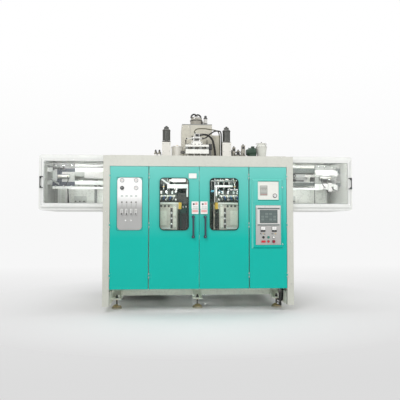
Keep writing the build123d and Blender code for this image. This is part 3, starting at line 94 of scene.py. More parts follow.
class MachineColours(bpy.types.PropertyGroup):
    """Colours of the machine's finishes."""

    frame_paint: colour_property("Frame paint", "Warm light grey of the portal and the frame",
                                 (0.535, 0.54, 0.48))
    door_paint: colour_property("Door paint", "Teal of the four front leaves", (0.0, 0.44, 0.368))
    guard_paint: colour_property("Guard paint", "Near white of the side guards", (0.77, 0.78, 0.755))
    cover_paint: colour_property("Cover paint", "Beige of the covers on the roof", (0.575, 0.552, 0.47))
    dark_green: colour_property("Motor green", "Dark green of the vacuum pump", (0.022, 0.06, 0.035))
    casting: colour_property("Casting paint", "Grey green of the drive castings", (0.1, 0.13, 0.115))
    graphite: colour_property("Graphite", "Dark grey of the blow cylinders", (0.07, 0.072, 0.066))
    handle_paint: colour_property("Handle paint", "Dark blue grey of the pull handles", (0.03, 0.04, 0.065))
    signal_yellow: colour_property("Buffer yellow", "Yellow of the carriage buffers", (0.8, 0.48, 0.06))
    signal_red: colour_property("Button red", "Red of the stop buttons", (0.6, 0.02, 0.03))


class MachineSizes(bpy.types.PropertyGroup):
    """Sizes of the small pieces."""

    seal_width: length_property("Seal width", "Width of the rubber seal round a window", 0.007)
    screw_radius: length_property("Screw radius", "Radius of a panel screw's head", 0.0045)


def new_group(name, inputs, outputs):
    """An empty shader node group with its sockets. Each socket is (name, kind, default)."""
    tree = bpy.data.node_groups.new(name, "ShaderNodeTree")
    for direction, sockets in (("INPUT", inputs), ("OUTPUT", outputs)):
        for label, kind, default in sockets:
            socket = tree.interface.new_socket(name=label, in_out=direction, socket_type="NodeSocket" + kind)
            if default is not None:
                socket.default_value = default
    return tree, tree.nodes.new("NodeGroupInput"), tree.nodes.new("NodeGroupOutput")


def add_node(tree, kind, **values):
    """A node with its settings and unlinked input values."""
    node = tree.nodes.new(kind)
    for key, value in values.items():
        if hasattr(node, key):
            setattr(node, key, value)
        else:
            node.inputs[key.replace("_", " ")].default_value = value
    return node


def math_node(tree, operation, first, second):
    """A math node whose operands are sockets or numbers."""
    node = add_node(tree, "ShaderNodeMath", operation=operation)
    for socket, value in zip(node.inputs, (first, second)):
        if isinstance(value, (int, float)):
            socket.default_value = value
        else:
            tree.links.new(value, socket)
    return node.outputs[0]


def mix_colours(tree, factor, first, second, blend="MIX"):
    """A colour mix whose inputs are sockets or values."""
    node = add_node(tree, "ShaderNodeMix", data_type="RGBA", blend_type=blend)
    for index, value in ((0, factor), (6, first), (7, second)):
        if isinstance(value, (int, float, tuple)):
            node.inputs[index].default_value = value
        else:
            tree.links.new(value, node.inputs[index])
    return node.outputs[2]


def spread(tree, value, low, high, to_low=0.0, to_high=1.0):
    """Maps the range low to high of a value to another range."""
    node = add_node(tree, "ShaderNodeMapRange")
    tree.links.new(value, node.inputs["Value"])
    for label, number in (("From Min", low), ("From Max", high), ("To Min", to_low), ("To Max", to_high)):
        if isinstance(number, (int, float)):
            node.inputs[label].default_value = number
        else:
            tree.links.new(number, node.inputs[label])
    return node.outputs["Result"]


def object_noise(tree, scale, detail=3.0, stretch=(1.0, 1.0, 1.0)):
    """Noise in the object's own metres, stretched along the axes."""
    place = add_node(tree, "ShaderNodeTexCoord")
    mapping = add_node(tree, "ShaderNodeMapping")
    mapping.inputs["Scale"].default_value = stretch
    noise = add_node(tree, "ShaderNodeTexNoise", Detail=detail)
    tree.links.new(place.outputs["Object"], mapping.inputs["Vector"])
    tree.links.new(mapping.outputs["Vector"], noise.inputs["Vector"])
    if isinstance(scale, (int, float)):
        noise.inputs["Scale"].default_value = scale
    else:
        tree.links.new(scale, noise.inputs["Scale"])
    return noise.outputs["Fac"]


def place_group(tree, name):
    """A node group placed in a tree."""
    node = add_node(tree, "ShaderNodeGroup")
    node.node_tree = bpy.data.node_groups[name]
    return node


def rounded_edges(tree, radius):
    """The sockets of a Rounded Edges group that takes its radius from a socket."""
    edges = place_group(tree, "Rounded Edges")
    tree.links.new(radius, edges.inputs["Radius"])
    return edges.outputs


def brightened(tree, colour, factor):
    """A colour times a factor that is a socket."""
    value = add_node(tree, "ShaderNodeHueSaturation")
    tree.links.new(colour, value.inputs["Color"])
    tree.links.new(factor, value.inputs["Value"])
    return value.outputs["Color"]


def put_out(tree, outputs, colour, roughness, bump, height, edges):
    """Links what a surface group puts out. The bump's normal starts from the rounded edges."""
    tree.links.new(height, bump.inputs["Height"])
    tree.links.new(edges["Normal"], bump.inputs["Normal"])
    tree.links.new(colour, outputs.inputs["Colour"])
    tree.links.new(roughness, outputs.inputs["Roughness"])
    tree.links.new(bump.outputs["Normal"], outputs.inputs["Normal"])


def build_rounded_edges():
    """Normals that round sharp edges, and a mask along those edges."""
    tree, inputs, outputs = new_group("Rounded Edges", [("Radius", "Float", 0.003)],
                                      [("Normal", "Vector", None), ("Edge", "Float", None)])
    bevel = add_node(tree, "ShaderNodeBevel", samples=6)
    tree.links.new(inputs.outputs["Radius"], bevel.inputs["Radius"])
    geometry = add_node(tree, "ShaderNodeNewGeometry")
    dot = add_node(tree, "ShaderNodeVectorMath", operation="DOT_PRODUCT")
    tree.links.new(bevel.outputs["Normal"], dot.inputs[0])
    tree.links.new(geometry.outputs["Normal"], dot.inputs[1])
    tree.links.new(bevel.outputs["Normal"], outputs.inputs["Normal"])
    tree.links.new(spread(tree, dot.outputs["Value"], 0.995, 0.8), outputs.inputs["Edge"])


def build_sheet_paint():
    """Sprayed paint: slow tone changes, fine orange peel, edges that catch light and grime in streaks."""
    tree, inputs, outputs = new_group("Sheet Paint",
                                      [("Colour", "Color", (0.8, 0.8, 0.8, 1.0)),
                                       ("Top Colour", "Color", (0.8, 0.8, 0.8, 1.0)),
                                       ("Low Level", "Float", 0.0), ("High Level", "Float", 3.0),
                                       ("Variation", "Float", 0.06), ("Grime", "Float", 0.15),
                                       ("Gloss", "Float", 0.35), ("Peel", "Float", 0.03),
                                       ("Radius", "Float", 0.003)], SURFACE_OUTPUTS)
    source = inputs.outputs
    place = add_node(tree, "ShaderNodeTexCoord")
    split = add_node(tree, "ShaderNodeSeparateXYZ")
    tree.links.new(place.outputs["Object"], split.inputs[0])
    # Colour blends into Top Colour between the two levels. The door paint and the gauge panel use this blend
    # as painted light on their upper part.
    height = spread(tree, split.outputs["Z"], source["Low Level"], source["High Level"])
    body = mix_colours(tree, height, source["Colour"], source["Top Colour"])
    tone = spread(tree, object_noise(tree, 1.7, 4.0), 0.3, 0.7, -1.0, 1.0)
    tone = math_node(tree, "MULTIPLY", tone, source["Variation"])
    body = brightened(tree, body, math_node(tree, "ADD", tone, 1.0))
    edges = rounded_edges(tree, source["Radius"])
    specks = spread(tree, object_noise(tree, 26.0, 5.0), 0.5, 0.68)
    dirt = math_node(tree, "MULTIPLY", specks, source["Grime"])
    streaks = spread(tree, object_noise(tree, 9.0, 3.0, (1.0, 1.0, 0.12)), 0.5, 0.75)
    streaks = math_node(tree, "MULTIPLY", streaks, math_node(tree, "MULTIPLY", source["Grime"], 0.6))
    dirt = math_node(tree, "MINIMUM", math_node(tree, "ADD", dirt, streaks), 1.0)
    # Edges turn pale grey in patches. This is partly worn paint and partly a painted highlight where the
    # edges catch light.
    edge_wear_and_highlight = math_node(tree, "MULTIPLY", edges["Edge"], spread(tree, object_noise(tree, 40.0), 0.45, 0.65))
    dull = mix_colours(tree, dirt, body, (0.16, 0.15, 0.13, 1.0))
    bright = mix_colours(tree, math_node(tree, "MULTIPLY", edge_wear_and_highlight, 0.35), dull, (0.72, 0.72, 0.7, 1.0))
    rough = math_node(tree, "ADD", source["Gloss"], math_node(tree, "MULTIPLY", dirt, 0.5))
    bump = add_node(tree, "ShaderNodeBump", Distance=0.001)
    tree.links.new(source["Peel"], bump.inputs["Strength"])
    put_out(tree, outputs, bright, rough, bump, object_noise(tree, 420.0, 2.0), edges)


def build_worked_metal():
    """Bare metal: streaks along one axis, tarnish in patches and rounded edges."""
    tree, inputs, outputs = new_group("Worked Metal",
                                      [("Colour", "Color", (0.6, 0.6, 0.6, 1.0)),
                                       ("Tarnish", "Color", (0.3, 0.28, 0.25, 1.0)),
                                       ("Streaks", "Float", 0.2), ("Patches", "Float", 0.3),
                                       ("Roughness", "Float", 0.3), ("Radius", "Float", 0.0015)],
                                      SURFACE_OUTPUTS)
    source = inputs.outputs
    lines = spread(tree, object_noise(tree, 14.0, 4.0, (1.0, 8.0, 60.0)), 0.35, 0.65, -1.0, 1.0)
    lines = math_node(tree, "MULTIPLY", lines, source["Streaks"])
    patches = spread(tree, object_noise(tree, 16.0, 5.0), 0.45, 0.72)
    patches = math_node(tree, "MULTIPLY", patches, source["Patches"])
    edges = rounded_edges(tree, source["Radius"])
    tone = math_node(tree, "ADD", math_node(tree, "MULTIPLY", lines, 0.5), 1.0)
    body = brightened(tree, source["Colour"], tone)
    dull = mix_colours(tree, patches, body, source["Tarnish"])
    rough = math_node(tree, "ADD", source["Roughness"], math_node(tree, "MULTIPLY", lines, 0.25))
    rough = math_node(tree, "ADD", rough, math_node(tree, "MULTIPLY", patches, 0.3))
    bump = add_node(tree, "ShaderNodeBump", Distance=0.0004, Strength=0.25)
    put_out(tree, outputs, dull, rough, bump, lines, edges)


def build_moulded_skin():
    """Plastic and rubber: faint mottling, a fine grain and rounded edges."""
    tree, inputs, outputs = new_group("Moulded Skin",
                                      [("Colour", "Color", (0.1, 0.1, 0.1, 1.0)),
                                       ("Dust", "Float", 0.1), ("Roughness", "Float", 0.5),
                                       ("Grain", "Float", 0.1), ("Radius", "Float", 0.001)], SURFACE_OUTPUTS)
    source = inputs.outputs
    edges = rounded_edges(tree, source["Radius"])
    patches = math_node(tree, "MULTIPLY", spread(tree, object_noise(tree, 30.0, 4.0), 0.4, 0.7),
                        source["Dust"])
    colour = mix_colours(tree, patches, source["Colour"], (0.42, 0.41, 0.38, 1.0))
    rough = math_node(tree, "ADD", source["Roughness"], math_node(tree, "MULTIPLY", patches, 0.4))
    bump = add_node(tree, "ShaderNodeBump", Distance=0.0006)
    tree.links.new(source["Grain"], bump.inputs["Strength"])
    put_out(tree, outputs, colour, rough, bump, object_noise(tree, 900.0, 2.0), edges)


def build_zone():
    """One inside a box between two corners, in the object's own metres, and nought outside it."""
    tree, inputs, outputs = new_group("Zone", [("Low", "Vector", None), ("High", "Vector", None)],
                                      [("Mask", "Float", None)])
    place = add_node(tree, "ShaderNodeTexCoord").outputs["Object"]
    above = add_node(tree, "ShaderNodeVectorMath", operation="SUBTRACT")
    below = add_node(tree, "ShaderNodeVectorMath", operation="SUBTRACT")
    nearest = add_node(tree, "ShaderNodeVectorMath", operation="MINIMUM")
    split = add_node(tree, "ShaderNodeSeparateXYZ")
    tree.links.new(place, above.inputs[0])
    tree.links.new(inputs.outputs["Low"], above.inputs[1])
    tree.links.new(inputs.outputs["High"], below.inputs[0])
    tree.links.new(place, below.inputs[1])
    tree.links.new(above.outputs[0], nearest.inputs[0])
    tree.links.new(below.outputs[0], nearest.inputs[1])
    tree.links.new(nearest.outputs[0], split.inputs[0])
    least = math_node(tree, "MINIMUM", split.outputs["X"], split.outputs["Y"])
    least = math_node(tree, "MINIMUM", least, split.outputs["Z"])
    tree.links.new(math_node(tree, "GREATER_THAN", least, 0.0), outputs.inputs["Mask"])


def sheet_paint(colour, top=None, levels=(0.0, 3.0), gloss=0.38, grime=0.1, variation=0.04, peel=0.03,
                radius=0.003, metallic=0.0):
    """Settings of a sprayed paint."""
    values = {"Colour": tuple(colour), "Top Colour": tuple(top or colour), "Gloss": gloss, "Grime": grime,
              "Variation": variation, "Peel": peel, "Radius": radius, "Low Level": levels[0],
              "High Level": levels[1]}
    return "Sheet Paint", values, metallic


def worked_metal(colour, tarnish=(0.25, 0.23, 0.2), roughness=0.32, streaks=0.15, patches=0.2, radius=0.0015,
                 metallic=1.0):
    """Settings of a bare metal."""
    values = {"Colour": tuple(colour), "Tarnish": tarnish, "Roughness": roughness, "Streaks": streaks,
              "Patches": patches, "Radius": radius}
    return "Worked Metal", values, metallic


def moulded_skin(colour, roughness=0.45, dust=0.06, grain=0.08, radius=0.001):
    """Settings of a plastic or a rubber."""
    values = {"Colour": tuple(colour), "Roughness": roughness, "Dust": dust, "Grain": grain, "Radius": radius}
    return "Moulded Skin", values, 0.0


def add_effect(tree, settings):
    """A group node set up from an effect's settings."""
    group, values, _ = settings
    effect = place_group(tree, group)
    for label, value in values.items():
        effect.inputs[label].default_value = (*value, 1.0) if isinstance(value, tuple) else value
    return effect.outputs


def finish(name, base, *zones, **shader_values):
    """A material made of one effect, with other effects inside boxes.

    Each zone is (x range, y range, z range, settings), and ALL is a range without an end.
    """
    material = bpy.data.materials.new(name)
    material.use_nodes = True
    tree = material.node_tree
    shader = tree.nodes["Principled BSDF"]
    effect = add_effect(tree, base)
    colour, roughness, metallic = effect["Colour"], effect["Roughness"], base[2]
    for *ranges, settings in zones:
        zone = place_group(tree, "Zone")
        zone.inputs["Low"].default_value, zone.inputs["High"].default_value = zip(*ranges)
        inside = zone.outputs["Mask"]
        other = add_effect(tree, settings)
        colour = mix_colours(tree, inside, colour, other["Colour"])
        roughness = spread(tree, inside, 0.0, 1.0, roughness, other["Roughness"])
        if metallic != settings[2]:
            metallic = spread(tree, inside, 0.0, 1.0, metallic, settings[2])
    tree.links.new(colour, shader.inputs["Base Color"])
    tree.links.new(roughness, shader.inputs["Roughness"])
    tree.links.new(effect["Normal"], shader.inputs["Normal"])
    if isinstance(metallic, float):
        shader.inputs["Metallic"].default_value = metallic
    else:
        tree.links.new(metallic, shader.inputs["Metallic"])
    for label, value in shader_values.items():
        shader.inputs[label.replace("_", " ")].default_value = value
    material.diffuse_color = (*base[1]["Colour"], 1.0)


def clear_glass(name, tint, haze):
    """Glass that lets light straight through, with faint smears."""
    material = bpy.data.materials.new(name)
    material.use_nodes = True
    tree = material.node_tree
    tree.nodes.remove(tree.nodes["Principled BSDF"])
    through = add_node(tree, "ShaderNodeBsdfTransparent")
    through.inputs["Color"].default_value = (*tint, 1.0)
    gloss = add_node(tree, "ShaderNodeBsdfGlossy", Roughness=0.06)
    smears = spread(tree, object_noise(tree, 5.0, 4.0), 0.4, 0.8, haze, haze + 0.03)
    mixed = add_node(tree, "ShaderNodeMixShader")
    tree.links.new(smears, mixed.inputs[0])
    tree.links.new(through.outputs[0], mixed.inputs[1])
    tree.links.new(gloss.outputs[0], mixed.inputs[2])
    tree.links.new(mixed.outputs[0], tree.nodes["Material Output"].inputs["Surface"])
    material.diffuse_color = (*tint, 0.3)


def build_materials(colours):
    """Every finish of the machine, by name."""
    def display(name, colour, roughness):
        """A glossy field of a screen or a display."""
        finish(name, moulded_skin(colour, roughness=roughness, dust=0.02, grain=0.01))

    def label(name, colour):
        """A printed plate."""
        finish(name, moulded_skin(colour, roughness=0.35, dust=0.01, grain=0.02))

    def button(name, colour):
        """The cap of a push button."""
        finish(name, moulded_skin(colour, roughness=0.3, dust=0.02))

    frame_paint = sheet_paint(colours.frame_paint, top=(0.6, 0.6, 0.54), levels=(0.3, 2.2), gloss=0.42,
                              grime=0.06)
    white = sheet_paint(colours.guard_paint, gloss=0.4, grime=0.05, variation=0.03)
    ivory = sheet_paint((0.79, 0.77, 0.71), gloss=0.42, grime=0.1)
    # Near black for painted shade on the inner faces of the enclosure sheets.
    painted_inside_shade = sheet_paint((0.022, 0.05, 0.045), gloss=0.5, grime=0.1)
    dark_steel = worked_metal((0.1, 0.1, 0.095), roughness=0.45, patches=0.3, metallic=0.6)
    ground = worked_metal((0.6, 0.6, 0.58), roughness=0.25, patches=0.08)
    graphite = worked_metal(colours.graphite, roughness=0.36, streaks=0.05, patches=0.12, metallic=0.5)
    buffer = sheet_paint(colours.signal_yellow, gloss=0.4, grime=0.08)
    rubber = moulded_skin((0.01, 0.01, 0.009), roughness=0.6, dust=0.01, grain=0.04)

    finish("frame paint", frame_paint)
    # The base frame carries the frame's paint. This much lighter copy is painted light against the shade
    # under the doors.
    finish("base paint", sheet_paint((0.93, 0.96, 0.84), gloss=0.45, grime=0.12))
    # Every face inside the outer faces of the sheets is painted dark as the shade inside the cabinet.
    finish("enclosure paint", frame_paint, ((-1.4302, 1.4302), (-2.0, 1.3002), (0.0, 3.0), painted_inside_shade))
    # Pale teal for painted highlights along the chamfered left edge and top of the console door.
    painted_chamfer_highlight = sheet_paint((0.14, 0.58, 0.51), gloss=0.34, grime=0.01)
    # The teal turns paler towards the top of the leaves as a painted highlight.
    finish("door paint", sheet_paint(colours.door_paint, top=(0.15, 0.56, 0.5), levels=(1.1, 2.15),
                                     gloss=0.36, grime=0.01, variation=0.02),
           ((0.785, 0.813), (-FAR, -1.3003), (0.94, 2.0), painted_chamfer_highlight),
           ((0.785, 1.275), (-FAR, -1.3003), (1.97, 2.0), painted_chamfer_highlight), Specular_IOR_Level=0.25)
    # Dark teal for painted shadow lines in the console's recesses.
    finish("teal shade", sheet_paint((0.0, 0.27, 0.22), gloss=0.5, grime=0.01, radius=0.0005),
           Specular_IOR_Level=0.2)
    # Inside the wings the rear walls are painted lighter, more on the right than the left, as painted light.
    # The inner end walls are painted grey, darker on the left, as painted shade.
    finish("guard paint", white, ((-2.39, -1.44), (-0.112, -0.1025), (1.54, 2.35),
                                  sheet_paint((0.8, 0.81, 0.77), grime=0.2)),
           ((1.44, 2.39), (-0.112, -0.1025), (1.54, 2.35), sheet_paint((0.9, 0.91, 0.86), grime=0.2)),
           ((-2.397, -2.345), (-1.15, -0.1025), (1.5285, 2.3565), sheet_paint((0.34, 0.35, 0.33), grime=0.2)),
           ((2.345, 2.397), (-1.15, -0.1025), (1.5285, 2.3565), sheet_paint((0.42, 0.43, 0.4), grime=0.2)))
    finish("wing door paint", white, (ALL, (-FAR, -1.1905), (1.8, 2.1),
                                      sheet_paint((0.02, 0.022, 0.024), gloss=0.38)))
    finish("left take-out", sheet_paint((0.04, 0.048, 0.066), gloss=0.45, grime=0.15),
           ((-FAR, -2.237), ALL, (2.006, FAR), sheet_paint((0.42, 0.43, 0.42), grime=0.15)),
           ((-2.162, -1.5), ALL, (1.99, 2.15), sheet_paint((0.4, 0.4, 0.385), grime=0.15)),
           # The top is painted dark grey as the shade under the wing's roof.
           (ALL, ALL, (2.205, FAR), sheet_paint((0.24, 0.24, 0.23), grime=0.15)),
           (ALL, ALL, (1.5, 1.921), white))
    finish("cover paint", sheet_paint(colours.cover_paint, gloss=0.45, grime=0.14),
           ((0.2775, FAR), ALL, (2.0, 2.838), sheet_paint((0.56, 0.54, 0.45), grime=0.12)))
    finish("clamp paint", sheet_paint((0.66, 0.61, 0.54), gloss=0.45, grime=0.16),
           (ALL, (-1.079, -0.192), (1.0, 1.7), dark_steel),
           # The strips between the cover plates are painted dark as the shade in the recess behind the bolts.
           ((0.396, 0.429), (-1.082, -1.05), (1.25, 1.56), dark_steel),
           ((-0.429, -0.396), (-1.082, -1.05), (1.25, 1.56), dark_steel),
           (ALL, (-FAR, -1.079), (1.6195, FAR), ivory), ((0.25, 0.3055), (-FAR, -1.0), (1.54, 1.66), buffer),
           ((-0.3055, -0.25), (-FAR, -1.0), (1.54, 1.66), buffer))
    finish("ivory paint", ivory)
    finish("right take-out", sheet_paint((0.27, 0.28, 0.26), grime=0.2),
           ((1.5, 2.4), (-FAR, -0.6), (2.103, 2.205), white), ((1.5, 2.4), (-FAR, -0.6), (1.5, 1.975), white),
           ((2.09, 2.165), (-FAR, -0.6), (1.99, 2.092), dark_steel))
    finish("pump green", sheet_paint(colours.dark_green, gloss=0.35),
           ((0.98, FAR), ALL, (2.3, FAR), worked_metal((0.16, 0.17, 0.15), metallic=0.7)))
    finish("casting paint", sheet_paint(colours.casting, gloss=0.45, grime=0.18, peel=0.2))
    finish("motor green", sheet_paint((0.075, 0.098, 0.064), gloss=0.45, grime=0.18, peel=0.15))
    finish("tank paint", sheet_paint((0.075, 0.1, 0.094), gloss=0.45, grime=0.2))
    finish("handle paint", sheet_paint(colours.handle_paint, gloss=0.38, grime=0.03, radius=0.002))
    finish("pull black", sheet_paint((0.02, 0.022, 0.024), gloss=0.38, grime=0.03, radius=0.002))
    # The panel turns from mid grey to near white towards the top as a painted reflection.
    finish("gauge steel", sheet_paint((0.44, 0.44, 0.43), top=(0.93, 0.93, 0.92), levels=(1.55, 1.73),
                                      gloss=0.3, grime=0.04, variation=0.05, metallic=0.35))
    finish("console steel", sheet_paint((0.43, 0.425, 0.41), top=(0.5, 0.495, 0.48), levels=(1.0, 1.6),
                                        gloss=0.34, grime=0.05, metallic=0.3),
           # The pale band is a painted highlight along the top of the lower plate.
           ((0.8, FAR), ALL, (1.56, 1.64), sheet_paint((0.7, 0.7, 0.67), gloss=0.3, metallic=0.3)))
    finish("bezel steel", sheet_paint((0.66, 0.66, 0.64), gloss=0.3, grime=0.03, metallic=0.35))
    finish("ivory plastic", moulded_skin((0.78, 0.78, 0.73), roughness=0.4))
    finish("stainless", worked_metal((0.5, 0.5, 0.48), roughness=0.3, streaks=0.25, patches=0.08),
           (ALL, ALL, (3.008, FAR), sheet_paint((0.335, 0.315, 0.268), gloss=0.4, grime=0.12)),
           ((0.18, FAR), ALL, (3.17, FAR), moulded_skin((0.62, 0.61, 0.58))))
    finish("ground steel", ground)
    finish("beam rails", ground, ((-2.42, -1.0), ALL, (1.9, 2.222), white),
           # The dark grey band along the top of the left beam is painted shade under the wing's roof.
           ((-2.42, -1.0), ALL, (2.222, 2.3), sheet_paint((0.2, 0.2, 0.19), grime=0.15)),
           ((1.0, 2.42), ALL, (1.9, 2.3), sheet_paint((0.075, 0.09, 0.08), gloss=0.45, grime=0.15)),
           ((1.0, 2.42), ALL, (2.005, 2.15), sheet_paint((0.62, 0.63, 0.6), grime=0.15)))
    finish("die block", sheet_paint((0.84, 0.84, 0.8), gloss=0.4, grime=0.05),
           (ALL, ALL, (1.0, 2.3), worked_metal((0.15, 0.14, 0.12), metallic=0.7)),
           (ALL, ALL, (2.3, 2.443), worked_metal((0.3, 0.29, 0.26), metallic=0.6)))
    finish("blow block", sheet_paint((0.74, 0.72, 0.67), gloss=0.4, grime=0.05),
           (ALL, ALL, (2.652, FAR), graphite))
    finish("satin aluminium", worked_metal((0.72, 0.71, 0.68), roughness=0.42, streaks=0.08, patches=0.1,
                                           metallic=0.55))
    finish("servo metal", worked_metal((0.62, 0.62, 0.6), roughness=0.35, metallic=0.7),
           ((-0.3, -0.1585), ALL, (2.0, FAR), rubber), ((0.0875, FAR), ALL, (2.0, FAR), rubber))
    finish("canister", sheet_paint((0.64, 0.648, 0.595), gloss=0.4, grime=0.06),
           (ALL, ALL, (2.0, 2.393), dark_steel))
    mould_metal = worked_metal((0.58, 0.57, 0.53), roughness=0.36, metallic=0.7)
    finish("platen steel", sheet_paint((0.06, 0.068, 0.06), gloss=0.42, grime=0.15, metallic=0.2),
           (ALL, (-0.808, -0.392), (1.0, FAR), mould_metal))
    finish("dark steel", dark_steel)
    finish("valve metal", worked_metal((0.24, 0.23, 0.19), roughness=0.45, patches=0.4, metallic=0.5),
           ((0.735, 0.81), ALL, (2.4405, FAR), worked_metal((0.36, 0.34, 0.29), metallic=0.4)),
           ((0.585, 0.645), ALL, (2.4405, FAR), worked_metal((0.33, 0.31, 0.26), metallic=0.4)))
    finish("deep green", sheet_paint((0.02, 0.075, 0.062), gloss=0.45, grime=0.1, radius=0.001))
    finish("valve block", sheet_paint((0.2, 0.195, 0.15), gloss=0.5, grime=0.2, radius=0.002))
    finish("zinc yellow", worked_metal((0.62, 0.5, 0.27), roughness=0.35, streaks=0.05, patches=0.35))
    finish("brass fitting", worked_metal((0.7, 0.52, 0.24), roughness=0.3, streaks=0.05, patches=0.25))
    finish("chrome", worked_metal((0.8, 0.8, 0.8), roughness=0.12, streaks=0.05, patches=0.03))
    finish("foot", sheet_paint((0.46, 0.43, 0.33), gloss=0.6),
           (ALL, ALL, (0.0202, 0.064), worked_metal((0.52, 0.43, 0.24), roughness=0.4, patches=0.4)),
           (ALL, ALL, (0.064, 0.3), dark_steel))
    finish("white parts", sheet_paint((0.84, 0.82, 0.81), gloss=0.35, grime=0.04, radius=0.0006))
    finish("pale grey parts", sheet_paint((0.56, 0.57, 0.55), gloss=0.4, grime=0.1, radius=0.0006))
    finish("clamp plate", sheet_paint((0.84, 0.79, 0.7), gloss=0.45, grime=0.12, radius=0.0006))
    finish("mid grey parts", sheet_paint((0.24, 0.25, 0.24), gloss=0.4, grime=0.1, radius=0.0006))
    finish("black rubber", rubber)
    finish("black plastic", moulded_skin((0.02, 0.021, 0.022), roughness=0.4))
    finish("grey plastic", moulded_skin((0.3, 0.31, 0.31)))
    finish("white plastic", moulded_skin((0.8, 0.8, 0.78), roughness=0.35, dust=0.02))
    finish("olive hose", moulded_skin((0.1, 0.095, 0.055)))
    finish("pale hose", moulded_skin((0.6, 0.59, 0.54)))
    finish("blue hose", moulded_skin((0.05, 0.28, 0.42), roughness=0.35))
    finish("blue line", moulded_skin((0.02, 0.1, 0.3), roughness=0.35))
    display("screen face", (0.1, 0.132, 0.125), 0.2)
    display("screen field", (0.165, 0.205, 0.195), 0.22)
    display("screen dark field", (0.115, 0.148, 0.142), 0.22)
    display("display grey", (0.36, 0.37, 0.34), 0.24)
    display("display light", (0.5, 0.51, 0.48), 0.24)
    display("display rose", (0.42, 0.24, 0.22), 0.3)
    label("plate white", (0.84, 0.84, 0.82))
    label("plate rose", (0.76, 0.4, 0.38))
    label("plate sage", (0.52, 0.58, 0.54))
    button("button red", colours.signal_red)
    button("button dark red", (0.28, 0.012, 0.035))
    button("button green", (0.01, 0.25, 0.19))
    clear_glass("window glass", (0.96, 0.98, 0.97), 0.008)
    clear_glass("guard glass", (0.98, 0.99, 0.985), 0.03)


CAD_FINISHES = {
    "frame paint": ("front_portal", "upper_frame"),
    "base paint": ("base_frame",),
    "enclosure paint": ("enclosure_panels",),
    "door paint": ("left_cabinet_door", "left_safety_door", "right_safety_door", "control_door"),
    "guard paint": ("wing_guards",),
    "wing door paint": ("left_wing_door", "right_wing_door"),
    "clamp paint": ("left_mould_carriage", "right_mould_carriage"),
    "cover paint": ("barrel_cover",),
    "ivory paint": ("air_drum",),
    "right take-out": ("right_takeout_carriage",),
    "casting paint": ("drive_gearbox",),
    "motor green": ("drive_motor",),
    "tank paint": ("hydraulic_tank",),
    "pump green": ("vacuum_pump",),
    "handle paint": ("left_door_handle", "right_door_handle"),
    "gauge steel": ("gauge_panel",),
    "console steel": ("control_panel",),
    "bezel steel": ("touch_screen",),
    "stainless": ("material_hopper",),
    "beam rails": ("guide_rails",),
    "ground steel": ("left_blow_ram", "right_blow_ram", "extruder_screw", "parison_knife"),
    "die block": ("die_head",),
    "blow block": ("blow_stations",),
    "grey plastic": ("pressure_gauges",),
    "servo metal": ("parison_servo",),
    "canister": ("filter_canister",),
    "platen steel": ("left_front_platen", "right_front_platen", "left_rear_platen", "right_rear_platen"),
    "left take-out": ("left_takeout_carriage",),
    "dark steel": ("extruder_barrel",),
    "valve metal": ("valve_groups",),
    "chrome": ("controller_lock",),
    "black rubber": ("hydraulic_hoses",),
    "black plastic": ("air_regulator_knob", "selector_switch"),
    "white plastic": ("flow_meters", "panel_meters", "reset_button"),
    "ivory plastic": ("parison_controller",),
    "button green": ("start_button",),
    "button red": ("stop_button", "alarm_button"),
    "button dark red": ("emergency_stop",),
    "foot": ("levelling_feet",),
    "window glass": ("left_door_window", "right_door_window"),
    "guard glass": ("left_wing_window", "right_wing_window"),
}


